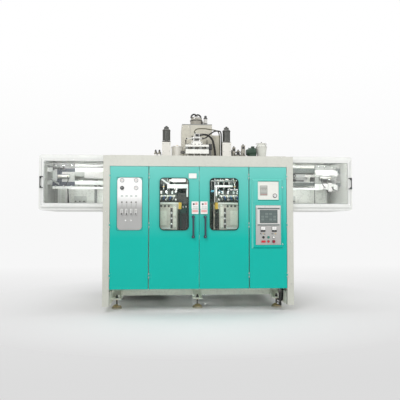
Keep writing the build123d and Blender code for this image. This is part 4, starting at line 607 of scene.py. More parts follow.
class Piece:
    """A mesh in the making. Shapes are added with a finish each, and then it rides on a body. A piece with
    mirror -1 is given in its right-hand form and comes out on the left."""

    def __init__(self, name, mirror=1):
        self.name = name.replace(" ", "_")
        self.mirror = mirror
        self.mesh = bmesh.new()
        self.finishes = []

    def at(self, point):
        """A point or a direction on this piece's side of the machine."""
        x, y, z = point
        return Vector((self.mirror * x, y, z))

    def paint(self, faces, finish, smooth=False):
        if finish not in self.finishes:
            self.finishes.append(finish)
        for face in faces:
            face.material_index = self.finishes.index(finish)
            face.smooth = smooth

    def skin(self, loops, finish, smooth, closed=True):
        """Quads from each loop of vertices to the next, and from the last to the first where closed."""
        faces = []
        for first, second in zip(loops, loops[1:] + loops[:1] if closed else loops[1:]):
            for step in range(len(first)):
                after = (step + 1) % len(first)
                faces.append(self.mesh.faces.new((first[step], first[after], second[after], second[step])))
        self.paint(faces, finish, smooth)

    def circles(self, start, direction, profile, segments):
        """Round loops of vertices about an axis, one for each (distance along it, radius) of a profile."""
        start, direction = self.at(start), self.at(direction).normalized()
        turn = direction.to_track_quat("Z", "Y").to_matrix()
        angles = [2 * math.pi * step / segments for step in range(segments)]
        loops = []
        for reach, radius in profile:
            places = [start + turn @ Vector((*around(0, 0, radius, angle), reach)) for angle in angles]
            loops.append([self.mesh.verts.new(place) for place in places])
        return loops

    def box(self, low, high, finish, bevel=0.0):
        """A box between two corners, its edges rounded by bevel."""
        low, high = (Vector([pick(pair) for pair in zip(self.at(low), self.at(high))]) for pick in (min, max))
        size = high - low
        matrix = Matrix.Translation((low + high) / 2) @ Matrix.Diagonal((*size, 1.0))
        verts = bmesh.ops.create_cube(self.mesh, size=1.0, matrix=matrix)["verts"]
        faces = {face for vert in verts for face in vert.link_faces}
        self.paint(faces, finish)
        bevel = min(bevel, 0.4 * min(size))
        if bevel:
            edges = list({edge for vert in verts for edge in vert.link_edges})
            rounded = bmesh.ops.bevel(self.mesh, geom=edges, offset=bevel, segments=2, profile=0.6,
                                      affect="EDGES")
            self.paint(rounded["faces"], finish)

    def boxes(self, finish, bevel, *corners):
        """Boxes of one finish, each between a low and a high corner."""
        for low, high in corners:
            self.box(low, high, finish, bevel)

    def turned(self, start, direction, profile, finish, segments=28, smooth=True):
        """A turned shape. profile lists (distance along the axis, radius), from one end to the other."""
        loops = self.circles(start, direction, profile, segments)
        self.paint([self.mesh.faces.new(list(reversed(loops[0]))), self.mesh.faces.new(loops[-1])], finish)
        self.skin(loops, finish, smooth, closed=False)

    def rod(self, start, end, radius, finish, segments=20):
        """A round bar between two points with a small bevel at each end."""
        start, end = Vector(start), Vector(end)
        length = (end - start).length
        bevel = min(radius * 0.12, length * 0.2)
        profile = [(0, radius - bevel), (bevel, radius), (length - bevel, radius), (length, radius - bevel)]
        self.turned(start, end - start, profile, finish, segments)

    def ring(self, start, direction, inner, outer, depth, finish, segments=32):
        """A flat ring with a bore."""
        bevel = min(depth, outer - inner) * 0.2
        section = [(0, inner), (0, outer), (depth - bevel, outer), (depth, outer - bevel), (depth, inner)]
        self.skin(self.circles(start, direction, section, segments), finish, True)

    def prism(self, outline, direction, depth, finish):
        """A flat outline of points pushed along a direction."""
        push = self.at(direction).normalized() * depth
        near = [self.mesh.verts.new(self.at(point)) for point in outline]
        far = [self.mesh.verts.new(self.at(point) + push) for point in outline]
        self.paint([self.mesh.faces.new(near), self.mesh.faces.new(list(reversed(far)))], finish)
        self.skin([far, near], finish, False, closed=False)

    def hex_bolt(self, at, direction, radius, finish, height):
        """A hexagon head on a washer."""
        self.turned(at, direction, disc(radius * 1.35, radius * 0.2), finish, 16, False)
        at = Vector(at) + Vector(direction).normalized() * radius * 0.2
        self.turned(at, direction, cap(radius, height * 0.8, height, radius * 0.85), finish, 6, False)

    def socket_screw(self, at, radius, direction=FORWARD, finish="chrome"):
        """A cylinder-head screw with its socket."""
        deep = radius * 0.6
        self.turned(at, direction, [(0, radius), (radius * 0.75, radius), (radius * 0.9, radius * 0.88),
                                    (radius * 0.9, radius * 0.52), (radius * 0.9 - deep, radius * 0.48)],
                    finish, 16)

    def sheet_screw(self, at, direction):
        """A pan-head screw of a sheet panel."""
        self.turned(at, direction, cap(0.007, 0.0022, 0.004, 0.0045), "chrome", 14)

    def tube(self, points, radius, finish="black rubber", steps=6, segments=10):
        """A round hose along a smooth line through the points, closed at both ends."""
        points = [self.at(point) for point in points]
        path = []
        ends = [2 * points[0] - points[1], *points, 2 * points[-1] - points[-2]]
        for p0, p1, p2, p3 in zip(ends, ends[1:], ends[2:], ends[3:]):
            for step in range(steps):
                t = step / steps
                square = 2 * p0 - 5 * p1 + 4 * p2 - p3
                cube = 3 * p1 - p0 - 3 * p2 + p3
                path.append(0.5 * (2 * p1 + (p2 - p0) * t + square * t ** 2 + cube * t ** 3))
        path.append(points[-1])
        side = (path[1] - path[0]).orthogonal().normalized()
        rings = []
        for index, point in enumerate(path):
            along = (path[min(index + 1, len(path) - 1)] - path[max(index - 1, 0)]).normalized()
            side = (side - along * side.dot(along)).normalized()
            across = along.cross(side)
            angles = [2 * math.pi * step / segments for step in range(segments)]
            spokes = [math.cos(angle) * side + math.sin(angle) * across for angle in angles]
            rings.append([self.mesh.verts.new(point + radius * spoke) for spoke in spokes])
        faces = [self.mesh.faces.new(rings[0]), self.mesh.faces.new(list(reversed(rings[-1])))]
        for first, second in zip(rings, rings[1:]):
            for step in range(segments):
                after = (step + 1) % segments
                faces.append(self.mesh.faces.new((first[step], second[step], second[after], first[after])))
        self.paint(faces, finish, True)

    def line(self, points, radius, finish="black rubber"):
        """A thin air or water line."""
        self.tube(points, radius, finish, steps=5, segments=8)

    def hose(self, points, radius, finish="black rubber"):
        """A hose with a ferrule pressed on each end."""
        self.tube(points, radius, finish)
        for end, after in ((points[0], points[1]), (points[-1], points[-2])):
            direction = (Vector(after) - Vector(end)).normalized()
            self.rod(end, Vector(end) + direction * radius * 3, radius * 1.3, "dark steel", 12)

    def grip(self, centre, along, out):
        """A bow grip for lifting a sheet off: it lies along one direction and stands out along another."""
        centre, along, out = Vector(centre), Vector(along), Vector(out)
        bow = ((-0.06, 0.0), (-0.058, 0.026), (0.0, 0.03), (0.058, 0.026), (0.06, 0.0))
        self.tube([centre + along * reach + out * rise for reach, rise in bow], 0.006, "black plastic")

    def plate(self, x0, x1, z0, z1, y, depth, corner, finish):
        """A plate with rounded corners that stands out by depth towards the front from y."""
        outline = [(x, y, z) for x, z in rounded_loop(x0, x1, z0, z1, corner)]
        self.prism(outline, FORWARD, depth, finish)

    def frame_strip(self, x0, x1, z0, z1, y, depth, width, corner, finish):
        """A strip of even width round a rounded rectangle, standing out by depth towards the front from y."""
        outer = rounded_loop(x0 - width, x1 + width, z0 - width, z1 + width, corner + width)
        inner = rounded_loop(x0, x1, z0, z1, corner)
        mid = width * 0.25
        crown = rounded_loop(x0 - width + mid, x1 + width - mid, z0 - width + mid, z1 + width - mid,
                             corner + width - mid)
        edge = rounded_loop(x0 - mid, x1 + mid, z0 - mid, z1 + mid, corner + mid)
        section = ((outer, 0.0), (outer, depth * 0.6), (crown, depth), (edge, depth), (inner, depth * 0.6),
                   (inner, 0.0))
        self.skin([[self.mesh.verts.new(self.at((x, y - reach, z))) for x, z in outline]
                   for outline, reach in section], finish, False)

    def done(self, body, replaces=()):
        """Makes the object, gives it its finishes and seats it on its body."""
        if not self.mesh.faces:
            raise RuntimeError(f"{self.name} has no faces")
        bmesh.ops.recalc_face_normals(self.mesh, faces=self.mesh.faces[:])
        data = bpy.data.meshes.new(self.name)
        self.mesh.to_mesh(data)
        self.mesh.free()
        for finish_name in self.finishes:
            data.materials.append(bpy.data.materials[finish_name])
        piece = bpy.data.objects.new(self.name, data)
        bpy.context.scene.collection.objects.link(piece)
        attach(piece, body)
        if replaces:
            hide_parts(*replaces)


def around(x, y, radius, angle):
    """The point at an angle on a circle about (x, y)."""
    return x + radius * math.cos(angle), y + radius * math.sin(angle)


def on_face(x, y, z, reach, angle):
    """The point at an angle and a reach from the centre (x, y, z) of a dial that faces the front."""
    return x + reach * math.cos(angle), y, z + reach * math.sin(angle)


def disc(radius, height):
    """Profile of a plain disc."""
    return [(0, radius), (height, radius)]


def cap(radius, straight, height, top):
    """Profile of a cap: straight sides, then a chamfer up to a smaller top."""
    return [(0, radius), (straight, radius), (height, top)]


def nipple(radius, straight, shoulder, neck, height):
    """Profile of a fitting: a wide foot, a shoulder and a neck."""
    return [(0, radius), (straight, radius), (shoulder, neck), (height, neck)]


def rounded_loop(x0, x1, z0, z1, corner, steps=6):
    """Points round a rectangle with rounded corners, as (x, z)."""
    points = []
    for cx, cz, start in ((x1 - corner, z1 - corner, 0), (x0 + corner, z1 - corner, 90),
                          (x0 + corner, z0 + corner, 180), (x1 - corner, z0 + corner, 270)):
        for step in range(steps + 1):
            angle = math.radians(start + 90 * step / steps)
            points.append(around(cx, cz, corner, angle))
    return points


class MACHINE_OT_stage(bpy.types.Operator):
    """Sets the floor, the white surroundings, the lamps and the camera."""

    bl_idname = "machine.stage"
    bl_label = "Stage"

    def execute(self, context):
        scene = context.scene
        scene.view_settings.view_transform = "Standard"
        self.lay_floor(scene)
        self.set_world(scene)
        for name, place, aim, size, power in (
            ("key lamp", (-3.0, -8.0, 6.5), (0.0, -1.0, 1.2), 4.5, 350),
            ("fill lamp", (5.5, -6.0, 3.0), (0.0, -1.0, 1.2), 4.0, 110),
            ("roof lamp", (0.0, 1.0, 7.5), (0.0, 0.0, 2.3), 5.0, 150),
            ("work light", (0.0, -0.75, 2.22), (0.0, -0.6, 1.4), 1.9, 26),
            ("window light left", (-0.36, -1.236, 1.95), (-0.36, 0.0, 1.86), 0.34, 1.1),
            ("window light right", (0.36, -1.236, 1.95), (0.36, 0.0, 1.86), 0.34, 1.1),
            ("wing light left", (-1.9, -1.06, 2.34), (-1.9, -0.45, 1.8), 0.8, 4.2),
            ("wing glow left", (-1.9, -0.56, 2.335), (-1.9, -0.11, 1.75), 0.8, 1.8),
            ("wing light right", (1.9, -1.06, 2.34), (1.9, -0.45, 1.8), 0.8, 4.2),
            ("wing glow right", (1.9, -0.56, 2.335), (1.9, -0.11, 1.75), 0.8, 2.2),
        ):
            lamp = bpy.data.lights.new(name, "AREA")
            lamp.shape = "RECTANGLE" if "light" in name or "glow" in name else "SQUARE"
            lamp.size = size
            lamp.size_y = {"work": 0.5, "window": 0.32, "wing": 0.03}.get(name.split()[0], size)
            lamp.energy = power
            holder = bpy.data.objects.new(name, lamp)
            holder.visible_camera = False
            holder.location = place
            holder.rotation_euler = (Vector(aim) - Vector(place)).to_track_quat("-Z", "Y").to_euler()
            scene.collection.objects.link(holder)

        camera = bpy.data.cameras.new("camera")
        camera.sensor_width = 36.0
        camera.lens = camera.sensor_width * FOCAL_PIXELS / PHOTO_PIXELS
        camera.shift_y = 0.003
        holder = bpy.data.objects.new("camera", camera)
        holder.location = (-0.48, -8.8, 1.313)
        holder.rotation_euler = (math.radians(90 + 2.62), 0.0, math.radians(-3.75))
        scene.collection.objects.link(holder)
        scene.camera = holder
        return {"FINISHED"}

    def lay_floor(self, scene):
        """A pale floor that turns into plain white glow far from the machine, so that no horizon shows."""
        reach = 60.0
        data = bpy.data.meshes.new("floor")
        data.from_pydata([(-reach, -reach, 0), (reach, -reach, 0), (reach, reach, 0), (-reach, reach, 0)], [],
                         [(0, 1, 2, 3)])
        floor = bpy.data.objects.new("floor", data)
        scene.collection.objects.link(floor)
        material = bpy.data.materials.new("floor")
        material.use_nodes = True
        tree = material.node_tree
        shader = tree.nodes["Principled BSDF"]
        shader.inputs["Roughness"].default_value = 0.75
        tone = spread(tree, object_noise(tree, 0.6, 3.0), 0.3, 0.7)
        tree.links.new(mix_colours(tree, tone, (0.78, 0.785, 0.787, 1.0), (0.8, 0.805, 0.805, 1.0)),
                       shader.inputs["Base Color"])
        place = add_node(tree, "ShaderNodeTexCoord")
        length = add_node(tree, "ShaderNodeVectorMath", operation="LENGTH")
        tree.links.new(place.outputs["Object"], length.inputs[0])
        far = spread(tree, length.outputs["Value"], 1.7, 3.9)
        split = add_node(tree, "ShaderNodeSeparateXYZ")
        tree.links.new(place.outputs["Object"], split.inputs[0])
        glow = add_node(tree, "ShaderNodeEmission")
        tree.links.new(spread(tree, split.outputs["Y"], -4.5, 7.0, 0.72, HORIZON_TONE),
                       glow.inputs["Strength"])
        blend = add_node(tree, "ShaderNodeMixShader")
        tree.links.new(far, blend.inputs[0])
        tree.links.new(shader.outputs[0], blend.inputs[1])
        tree.links.new(glow.outputs[0], blend.inputs[2])
        tree.links.new(blend.outputs[0], tree.nodes["Material Output"].inputs["Surface"])
        data.materials.append(material)

    def set_world(self, scene):
        """Soft white light all round, seen as a white that deepens slightly towards the horizon."""
        world = bpy.data.worlds.new("studio")
        scene.world = world
        world.use_nodes = True
        tree = world.node_tree
        background = tree.nodes["Background"]
        path = tree.nodes.new("ShaderNodeLightPath")
        seen = math_node(tree, "MAXIMUM", path.outputs["Is Camera Ray"], path.outputs["Is Transmission Ray"])
        seen = math_node(tree, "MAXIMUM", seen, path.outputs["Is Glossy Ray"])
        split = add_node(tree, "ShaderNodeSeparateXYZ")
        place = add_node(tree, "ShaderNodeTexCoord")
        tree.links.new(place.outputs["Generated"], split.inputs[0])
        sky = spread(tree, split.outputs["Z"], 0.0, 0.3, HORIZON_TONE, 1.0)
        tree.links.new(spread(tree, seen, 0.0, 1.0, 0.62, sky), background.inputs["Strength"])
        background.inputs["Color"].default_value = (1.0, 1.0, 1.0, 1.0)


class MACHINE_OT_finishes(bpy.types.Operator):
    """Builds the shader groups and materials, and gives every CAD node its finish."""

    bl_idname = "machine.finishes"
    bl_label = "Finishes"

    def execute(self, context):
        build_rounded_edges()
        build_sheet_paint()
        build_worked_metal()
        build_moulded_skin()
        build_zone()
        build_materials(context.scene.machine_colours)
        for name, nodes in CAD_FINISHES.items():
            for node in nodes:
                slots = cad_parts[node].data.materials
                slots.clear()
                slots.append(bpy.data.materials[name])
        return {"FINISHED"}


class MACHINE_OT_window_seals(bpy.types.Operator):
    """Fits the rubber seals round the panes of the inner leaves and of the sliding doors."""

    bl_idname = "machine.window_seals"
    bl_label = "Window seals"

    def execute(self, context):
        width = context.scene.machine_sizes.seal_width
        for side, x0, x1 in (("left", -0.587, -0.163), ("right", 0.163, 0.587)):
            seal = Piece(f"{side} window seal")
            seal.frame_strip(x0, x1, 1.227, 2.0, FRONT, 0.003, width, 0.058, "black rubber")
            seal.frame_strip(x0 + 0.004, x1 - 0.004, 1.231, 1.996, FRONT + 0.009, 0.008, 0.004, 0.054,
                             "black rubber")
            seal.done(f"{side}_inner_leaf")
        for side, x0, x1 in (("left", -2.318, -1.441), ("right", 1.441, 2.318)):
            seal = Piece(f"{side} wing seal")
            seal.frame_strip(x0, x1, 1.632, 2.258, -1.1895, 0.0025, 0.006, 0.014, "grey plastic")
            for x, z in product((x0 - 0.022, (x0 + x1) / 2, x1 + 0.022), (1.608, 2.282)):
                seal.socket_screw((x, SLIDE_FACE, z), 0.006)
            seal.done(f"{side}_sliding_door")
        return {"FINISHED"}


class MACHINE_OT_door_plates(bpy.types.Operator):
    """Puts the blank plates with fields of colour and their screws on the inner leaves."""

    bl_idname = "machine.door_plates"
    bl_label = "Door plates"

    def execute(self, context):
        for side, sign in SIDES:
            plates = Piece(f"{side} leaf plates")
            x0, x1 = (-0.116, -0.011) if sign < 0 else (0.016, 0.124)
            plates.plate(x0, x1, 1.541, 1.652, FRONT, 0.0012, 0.004, "plate white")
            plates.plate(x0 + 0.004, x1, 1.465, 1.536, FRONT, 0.0012, 0.004, "plate white")
            face = FRONT - 0.0012
            near = -0.083 if sign < 0 else 0.052
            far = -0.044 if sign < 0 else 0.094
            plates.turned((near, face, 1.612), FORWARD, disc(0.015, 0.0004), "black plastic", 20)
            plates.plate(far - 0.017, far + 0.017, 1.6, 1.636, face, 0.0004, 0.004, "plate rose")
            for x, z, wide in ((near, 1.574, 0.016), (far, 1.572, 0.02), (near, 1.553, 0.014),
                               (far, 1.552, 0.018)):
                plates.plate(x - wide, x + wide, z - 0.006, z + 0.006, face, 0.0004, 0.002, "plate sage")
            plates.plate(x0 + 0.012, x1 - 0.01, 1.489, 1.526, face, 0.0004, 0.003, "plate rose")
            for x, z in product((x0 + 0.006, x1 - 0.006), (1.472, 1.645)):
                plates.turned((x, face, z), FORWARD, [(0, 0.003), (0.0012, 0.002)], "chrome", 12)
            if sign < 0:
                plates.plate(-0.158, -0.041, 1.998, 2.073, FRONT, 0.0012, 0.004, "plate white")
            plates.done(f"{side}_inner_leaf")
        return {"FINISHED"}


class MACHINE_OT_door_handles(bpy.types.Operator):
    """Gives the pull handles their feet, end caps and screws."""

    bl_idname = "machine.door_handles"
    bl_label = "Door handles"

    def execute(self, context):
        for side, sign in SIDES:
            pull = Piece(f"{side} handle fittings", sign)
            x = 0.09
            for z in (1.125, 1.421):
                pull.turned((x, FRONT, z), FORWARD, cap(0.024, 0.003, 0.006, 0.019), "handle paint")
                pull.socket_screw((x, -1.3585, z), 0.006, BACK)
            for z, out in ((1.1085, -1), (1.4375, 1)):
                pull.turned((x, -1.345, z - out * 0.004), (0, 0, out), cap(0.0138, 0.003, 0.0055, 0.011),
                            "black plastic", 20)
            pull.done(f"{side}_inner_leaf")
        return {"FINISHED"}


class MACHINE_OT_pressure_gauges(bpy.types.Operator):
    """Builds the three pressure gauges with their dials, ticks and needles, and the knob's collar."""

    bl_idname = "machine.pressure_gauges"
    bl_label = "Pressure gauges"

    def execute(self, context):
        gauges = Piece("dial gauges")
        for x, z, turn in ((-1.149, 1.965, 200), (-0.942, 1.965, 150), (-0.942, 1.851, 170)):
            gauges.turned((x, GAUGE_FACE, z), FORWARD, cap(0.029, 0.01, 0.01, 0.0285), "white plastic")
            gauges.ring((x, GAUGE_FACE - 0.004, z), FORWARD, 0.0255, 0.031, 0.01, "grey plastic")
            dial = GAUGE_FACE - 0.0105
            for step in range(11):
                angle = math.radians(225 - 27 * step)
                reach = 0.017 if step % 5 == 0 else 0.0195
                gauges.rod(on_face(x, dial, z, reach, angle), on_face(x, dial, z, 0.0225, angle), 0.0007,
                           "black plastic", 6)
            angle = math.radians(turn)
            gauges.rod(on_face(x, dial - 0.001, z, -0.007, angle), on_face(x, dial - 0.001, z, 0.019, angle),
                       0.0009, "button red", 6)
            gauges.turned((x, dial, z), FORWARD, [(0, 0.003), (0.002, 0.002)], "black plastic", 12)
        gauges.done("left_outer_leaf", replaces=("pressure_gauges",))
        knob = Piece("regulator collar")
        knob.ring((-1.149, GAUGE_FACE, 1.851), FORWARD, 0.0245, 0.03, 0.0035, "grey plastic")
        knob.done("left_outer_leaf")
        grip = Piece("regulator grip")
        for step in range(18):
            angle = 2 * math.pi * step / 18
            x, z = around(-1.149, 1.851, 0.0242, angle)
            grip.rod((x, -1.312, z), (x, -1.331, z), 0.0014, "black plastic", 6)
        grip.turned((-1.149, -1.333, 1.851), FORWARD, [(0, 0.012), (0.001, 0.011)], "grey plastic", 20)
        grip.done("regulator_knob")
        return {"FINISHED"}


class MACHINE_OT_flow_meters(bpy.types.Operator):
    """Builds the four flow meters with their glass tubes, floats, valves, unions and blank tags."""

    bl_idname = "machine.flow_meters"
    bl_label = "Flow meters"

    def execute(self, context):
        meters = Piece("glass flow meters")
        for index, x in enumerate((-1.15, -1.081, -1.012, -0.943)):
            meters.box((x - 0.015, -1.327, 1.454), (x + 0.015, GAUGE_FACE, 1.538), "white plastic", 0.002)
            meters.box((x - 0.0065, -1.3278, 1.478), (x + 0.0065, -1.325, 1.531), "grey plastic", 0.0008)
            meters.rod((x, -1.3275, 1.48), (x, -1.3275, 1.529), 0.0028, "display light", 10)
            level = 1.492 + 0.006 * index
            meters.turned((x, -1.3275, level), UP, [(0, 0.0015), (0.003, 0.0034), (0.005, 0.0034)],
                          "button dark red", 10)
            for step in range(8):
                z = 1.484 + 0.006 * step
                meters.box((x + 0.0075, -1.3276, z), (x + 0.0118, -1.3265, z + 0.0009), "black plastic")
            meters.turned((x, -1.326, 1.465), FORWARD,
                          [(0, 0.011), (0.003, 0.011), (0.004, 0.0095), (0.015, 0.009), (0.017, 0.0075)],
                          "black plastic", 18)
            meters.turned((x, GAUGE_FACE, 1.639), FORWARD,
                          [(0, 0.011), (0.004, 0.011), (0.005, 0.008), (0.016, 0.008), (0.017, 0.006)],
                          "dark steel", 6, False)
            meters.line([(x, -1.312, 1.639), (x + 0.004, -1.317, 1.612), (x - 0.003, -1.318, 1.574),
                         (x, -1.316, 1.538)], 0.0028, "display light")
            meters.plate(x - 0.017, x + 0.017, 1.72, 1.742, GAUGE_FACE, 0.0018, 0.002, "plate sage")
            for offset in (-0.014, 0.014):
                meters.turned((x + offset, GAUGE_FACE - 0.0018, 1.731), FORWARD,
                              [(0, 0.0016), (0.0008, 0.001)], "chrome", 8)
        meters.done("left_outer_leaf", replaces=("flow_meters",))
        return {"FINISHED"}


class MACHINE_OT_air_panel(bpy.types.Operator):
    """Adds the gauge panel's gasket, its screws and two push-in caps."""

    bl_idname = "machine.air_panel"
    bl_label = "Air panel"

    def execute(self, context):
        panel = Piece("gauge panel fittings")
        x0, x1, z0, z1 = -1.221, -0.855, 1.226, 2.006
        radius = context.scene.machine_sizes.screw_radius
        panel.frame_strip(x0, x1, z0, z1, FRONT, 0.0022, 0.004, 0.004, "black rubber")
        for x, z in product((x0 + 0.012, x1 - 0.012), (z0 + 0.012, (z0 + z1) / 2, z1 - 0.012)):
            panel.turned((x, GAUGE_FACE, z), FORWARD,
                         [(0, radius), (0.0015, radius * 0.8), (0.002, radius * 0.4)], "chrome", 14)
        for x in (-1.096, -1.015):
            panel.turned((x, GAUGE_FACE, 1.367), FORWARD, cap(0.0125, 0.004, 0.006, 0.01), "plate white", 20)
            panel.turned((x, GAUGE_FACE - 0.006, 1.367), FORWARD, [(0, 0.005), (0.003, 0.004)], "chrome", 14)
        panel.done("left_outer_leaf")
        return {"FINISHED"}


class MACHINE_OT_console(bpy.types.Operator):
    """Dresses the console: screen fields, display, button collars, gaskets, latches, screws and painted teal
    shadow lines.
    """

    bl_idname = "machine.console"
    bl_label = "Console"

    def execute(self, context):
        screen = Piece("touch screen fields")
        for z0, z1 in ((1.5365, 1.557), (1.2945, 1.3105)):
            screen.plate(0.876, 1.211, z0, z1, -1.341, 0.0008, 0.003, "screen dark field")
        screen.plate(0.912, 1.175, 1.33, 1.524, -1.339, 0.0006, 0.002, "screen face")
        face = -1.3396
        screen.plate(0.918, 1.169, 1.502, 1.519, face, 0.0004, 0.002, "screen dark field")
        for column, row in product(range(4), range(3)):
            x = 0.93 + 0.061 * column
            z = 1.452 - 0.042 * row
            kind = "screen dark field" if (column + row) % 3 == 0 else "screen field"
            screen.plate(x, x + 0.046, z, z + 0.03, face, 0.0004, 0.003, kind)
        for column in range(5):
            x = 0.922 + 0.05 * column
            screen.plate(x, x + 0.04, 1.336, 1.354, face, 0.0004, 0.003, "screen dark field")
        screen.frame_strip(0.912, 1.175, 1.33, 1.524, -1.339, 0.0016, 0.003, 0.002, "black rubber")
        screen.done("right_outer_leaf")

        display = Piece("parison display")
        display.plate(0.916, 1.03, 1.745, 1.895, -1.3258, 0.0012, 0.003, "display grey")
        level = -1.327
        display.plate(0.924, 1.022, 1.868, 1.886, level, 0.0004, 0.002, "display light")
        for step in range(9):
            x = 0.928 + 0.0105 * step
            tall = 0.02 + 0.034 * abs(math.sin(0.9 * step + 0.6))
            display.plate(x, x + 0.007, 1.79, 1.79 + tall, level, 0.0004, 0.001, "display light")
        display.plate(0.924, 1.022, 1.756, 1.768, level, 0.0004, 0.002, "display rose")
        display.ring((1.145, -1.321, 1.742), FORWARD, 0.0245, 0.033, 0.003, "dark steel")
        for row, column in product(range(3), range(3)):
            x = 1.072 + 0.04 * column
            z = 1.906 - 0.04 * row
            display.plate(x, x + 0.026, z, z + 0.02, -1.321, 0.0016, 0.004, "ivory plastic")
        for x, z in product((0.893, 1.195), (1.689, 1.949)):
            display.turned((x, -1.321, z), FORWARD, [(0, 0.0045), (0.0016, 0.0035)], "chrome", 14)
        display.frame_strip(0.883, 1.205, 1.679, 1.959, -1.3185, 0.0022, 0.003, 0.006, "black rubber")
        display.done("right_outer_leaf")

        plate = Piece("console plate fittings")
        for x, z, radius in ((0.964, 1.116, 0.015), (1.039, 1.116, 0.015), (1.119, 1.116, 0.015),
                             (1.039, 1.053, 0.015), (1.119, 1.053, 0.02)):
            plate.ring((x, CONSOLE_FACE, z), FORWARD, radius + 0.0012, radius + 0.005, 0.003, "dark steel")
        for x, z in product((0.859, 1.221), (1.012, 1.3, 1.585)):
            plate.turned((x, CONSOLE_FACE, z), FORWARD, [(0, 0.0045), (0.0016, 0.0035)], "chrome", 14)
        for x in (0.964, 1.039, 1.119):
            plate.plate(x - 0.016, x + 0.016, 1.138, 1.145, CONSOLE_FACE, 0.0008, 0.001, "plate sage")
        for x, kind in ((0.932, "black plastic"), (0.984, "black plastic"), (1.103, "black plastic"),
                        (1.155, "zinc yellow")):
            plate.turned((x, -1.339, 1.165), FORWARD, [(0, 0.005), (0.004, 0.0045)], kind, 14)
        plate.frame_strip(0.85, 1.23, 1.003, 1.594, -1.3305, 0.0022, 0.003, 0.006, "black rubber")
        plate.done("right_outer_leaf")

        latches = Piece("console latches")
        for z in (1.01, 1.87):
            latches.turned((1.257, -1.317, z), FORWARD, cap(0.011, 0.003, 0.005, 0.008), "chrome", 18)
            latches.box((1.2558, -1.3228, z - 0.006), (1.2582, -1.3218, z + 0.006), "black plastic")
        # Thin dark teal strips over and under the upper panel and along the lower one are painted shadow
        # lines.
        latches.boxes("teal shade", 0.0, ((0.885, -1.3312, 1.961), (1.203, -1.3295, 1.969)),
                      ((0.885, -1.3312, 1.664), (1.203, -1.3295, 1.676)),
                      ((0.812, -1.3308, 1.63), (1.262, -1.3295, 1.633)))
        latches.done("right_outer_leaf")
        return {"FINISHED"}


class MACHINE_OT_panel_meters(bpy.types.Operator):
    """Builds the two needle meters with white dials over a dark band."""

    bl_idname = "machine.panel_meters"
    bl_label = "Panel meters"

    def execute(self, context):
        meters = Piece("needle meters")
        for x, turn in ((0.958, 118), (1.129, 96)):
            meters.box((x - 0.036, -1.342, 1.198), (x + 0.036, CONSOLE_FACE, 1.278), "black plastic", 0.002)
            meters.plate(x - 0.033, x + 0.033, 1.226, 1.275, -1.342, 0.0022, 0.003, "white plastic")
            meters.plate(x - 0.033, x + 0.033, 1.201, 1.2245, -1.342, 0.0028, 0.003, "black plastic")
            dial = -1.3442
            for step in range(11):
                angle = math.radians(150 - 12 * step)
                reach = 0.03 if step % 5 == 0 else 0.033
                far = (x + 0.036 * math.cos(angle) * 0.96, dial, 1.222 + 0.036 * math.sin(angle))
                meters.rod(on_face(x, dial, 1.222, reach, angle), far, 0.0006, "black plastic", 6)
            angle = math.radians(turn)
            meters.rod((x, dial, 1.228), on_face(x, dial, 1.226, 0.036, angle), 0.0007, "button dark red", 6)
            meters.turned((x, -1.3448, 1.212), FORWARD, [(0, 0.004), (0.0002, 0.0035)], "grey plastic", 14)
        for x, radius, kind in ((0.919, 0.007, "black plastic"), (0.94, 0.004, "black plastic"),
                                (0.965, 0.008, "brass fitting"), (1.095, 0.007, "black plastic"),
                                (1.117, 0.004, "black plastic"), (1.143, 0.008, "brass fitting")):
            meters.turned((x, -1.3325, 1.17), FORWARD, cap(radius, 0.004, 0.005, radius * 0.7), kind, 16)
        meters.done("right_outer_leaf", replaces=("panel_meters",))
        return {"FINISHED"}


class MACHINE_OT_clamp_fittings(bpy.types.Operator):
    """Adds bolts, face plates and their screws, tie bar collars and a hose to the two clamp carriages."""

    bl_idname = "machine.clamp_fittings"
    bl_label = "Clamp fittings"

    def execute(self, context):
        for side, sign in SIDES:
            clamp = Piece(f"{side} clamp fittings", sign)
            for step in range(4):
                clamp.hex_bolt((0.455 + 0.058 * step, -1.0795, 1.591), FORWARD, 0.0125, "dark steel", 0.012)
            for z in (1.316, 1.401, 1.486):
                clamp.hex_bolt((0.412, -1.0795, z), FORWARD, 0.0115, "chrome", 0.012)
            x0, x1 = 0.43, 0.669
            clamp.box((x0, -1.103, 1.236), (x1, -1.0995, 1.262), "white parts", 0.001)
            for x, z in product((x0 + 0.018, x1 - 0.018), (1.285, 1.545)):
                clamp.socket_screw((x, -1.1, z), 0.006)
            clamp.box((x0 + 0.06, -1.103, 1.3), (x1 - 0.06, -1.095, 1.52), "clamp plate", 0.002)
            x0, x1 = 0.333, 0.395
            for z in (1.25, 1.42, 1.595):
                clamp.socket_screw(((x0 + x1) / 2, -1.1, z), 0.0055)
            clamp.box((x0 + 0.008, -1.102, 1.27), (x1 - 0.008, -1.095, 1.4), "clamp plate", 0.002)
            clamp.box((x0 + 0.008, -1.102, 1.44), (x1 - 0.008, -1.095, 1.58), "clamp plate", 0.002)
            for x, z in product((0.365, 0.625), (1.29, 1.5)):
                clamp.turned((x, -1.057, z), BACK, [(0, 0.034), (0.01, 0.034), (0.014, 0.026), (0.03, 0.024)],
                             "ground steel", 24)
                clamp.turned((x, -0.192, z), FORWARD,
                             [(0, 0.034), (0.01, 0.034), (0.014, 0.026), (0.03, 0.024)], "ground steel", 24)
            x = 0.275
            clamp.turned((x, -1.044, 1.596), BACK, cap(0.016, 0.02, 0.024, 0.012), "dark steel", 18)
            clamp.hose([(0.69, -1.07, 1.45), (0.735, -1.085, 1.4), (0.745, -1.075, 1.28),
                        (0.7, -1.05, 1.215)], 0.009)
            clamp.done(f"{side}_carriage")
        return {"FINISHED"}


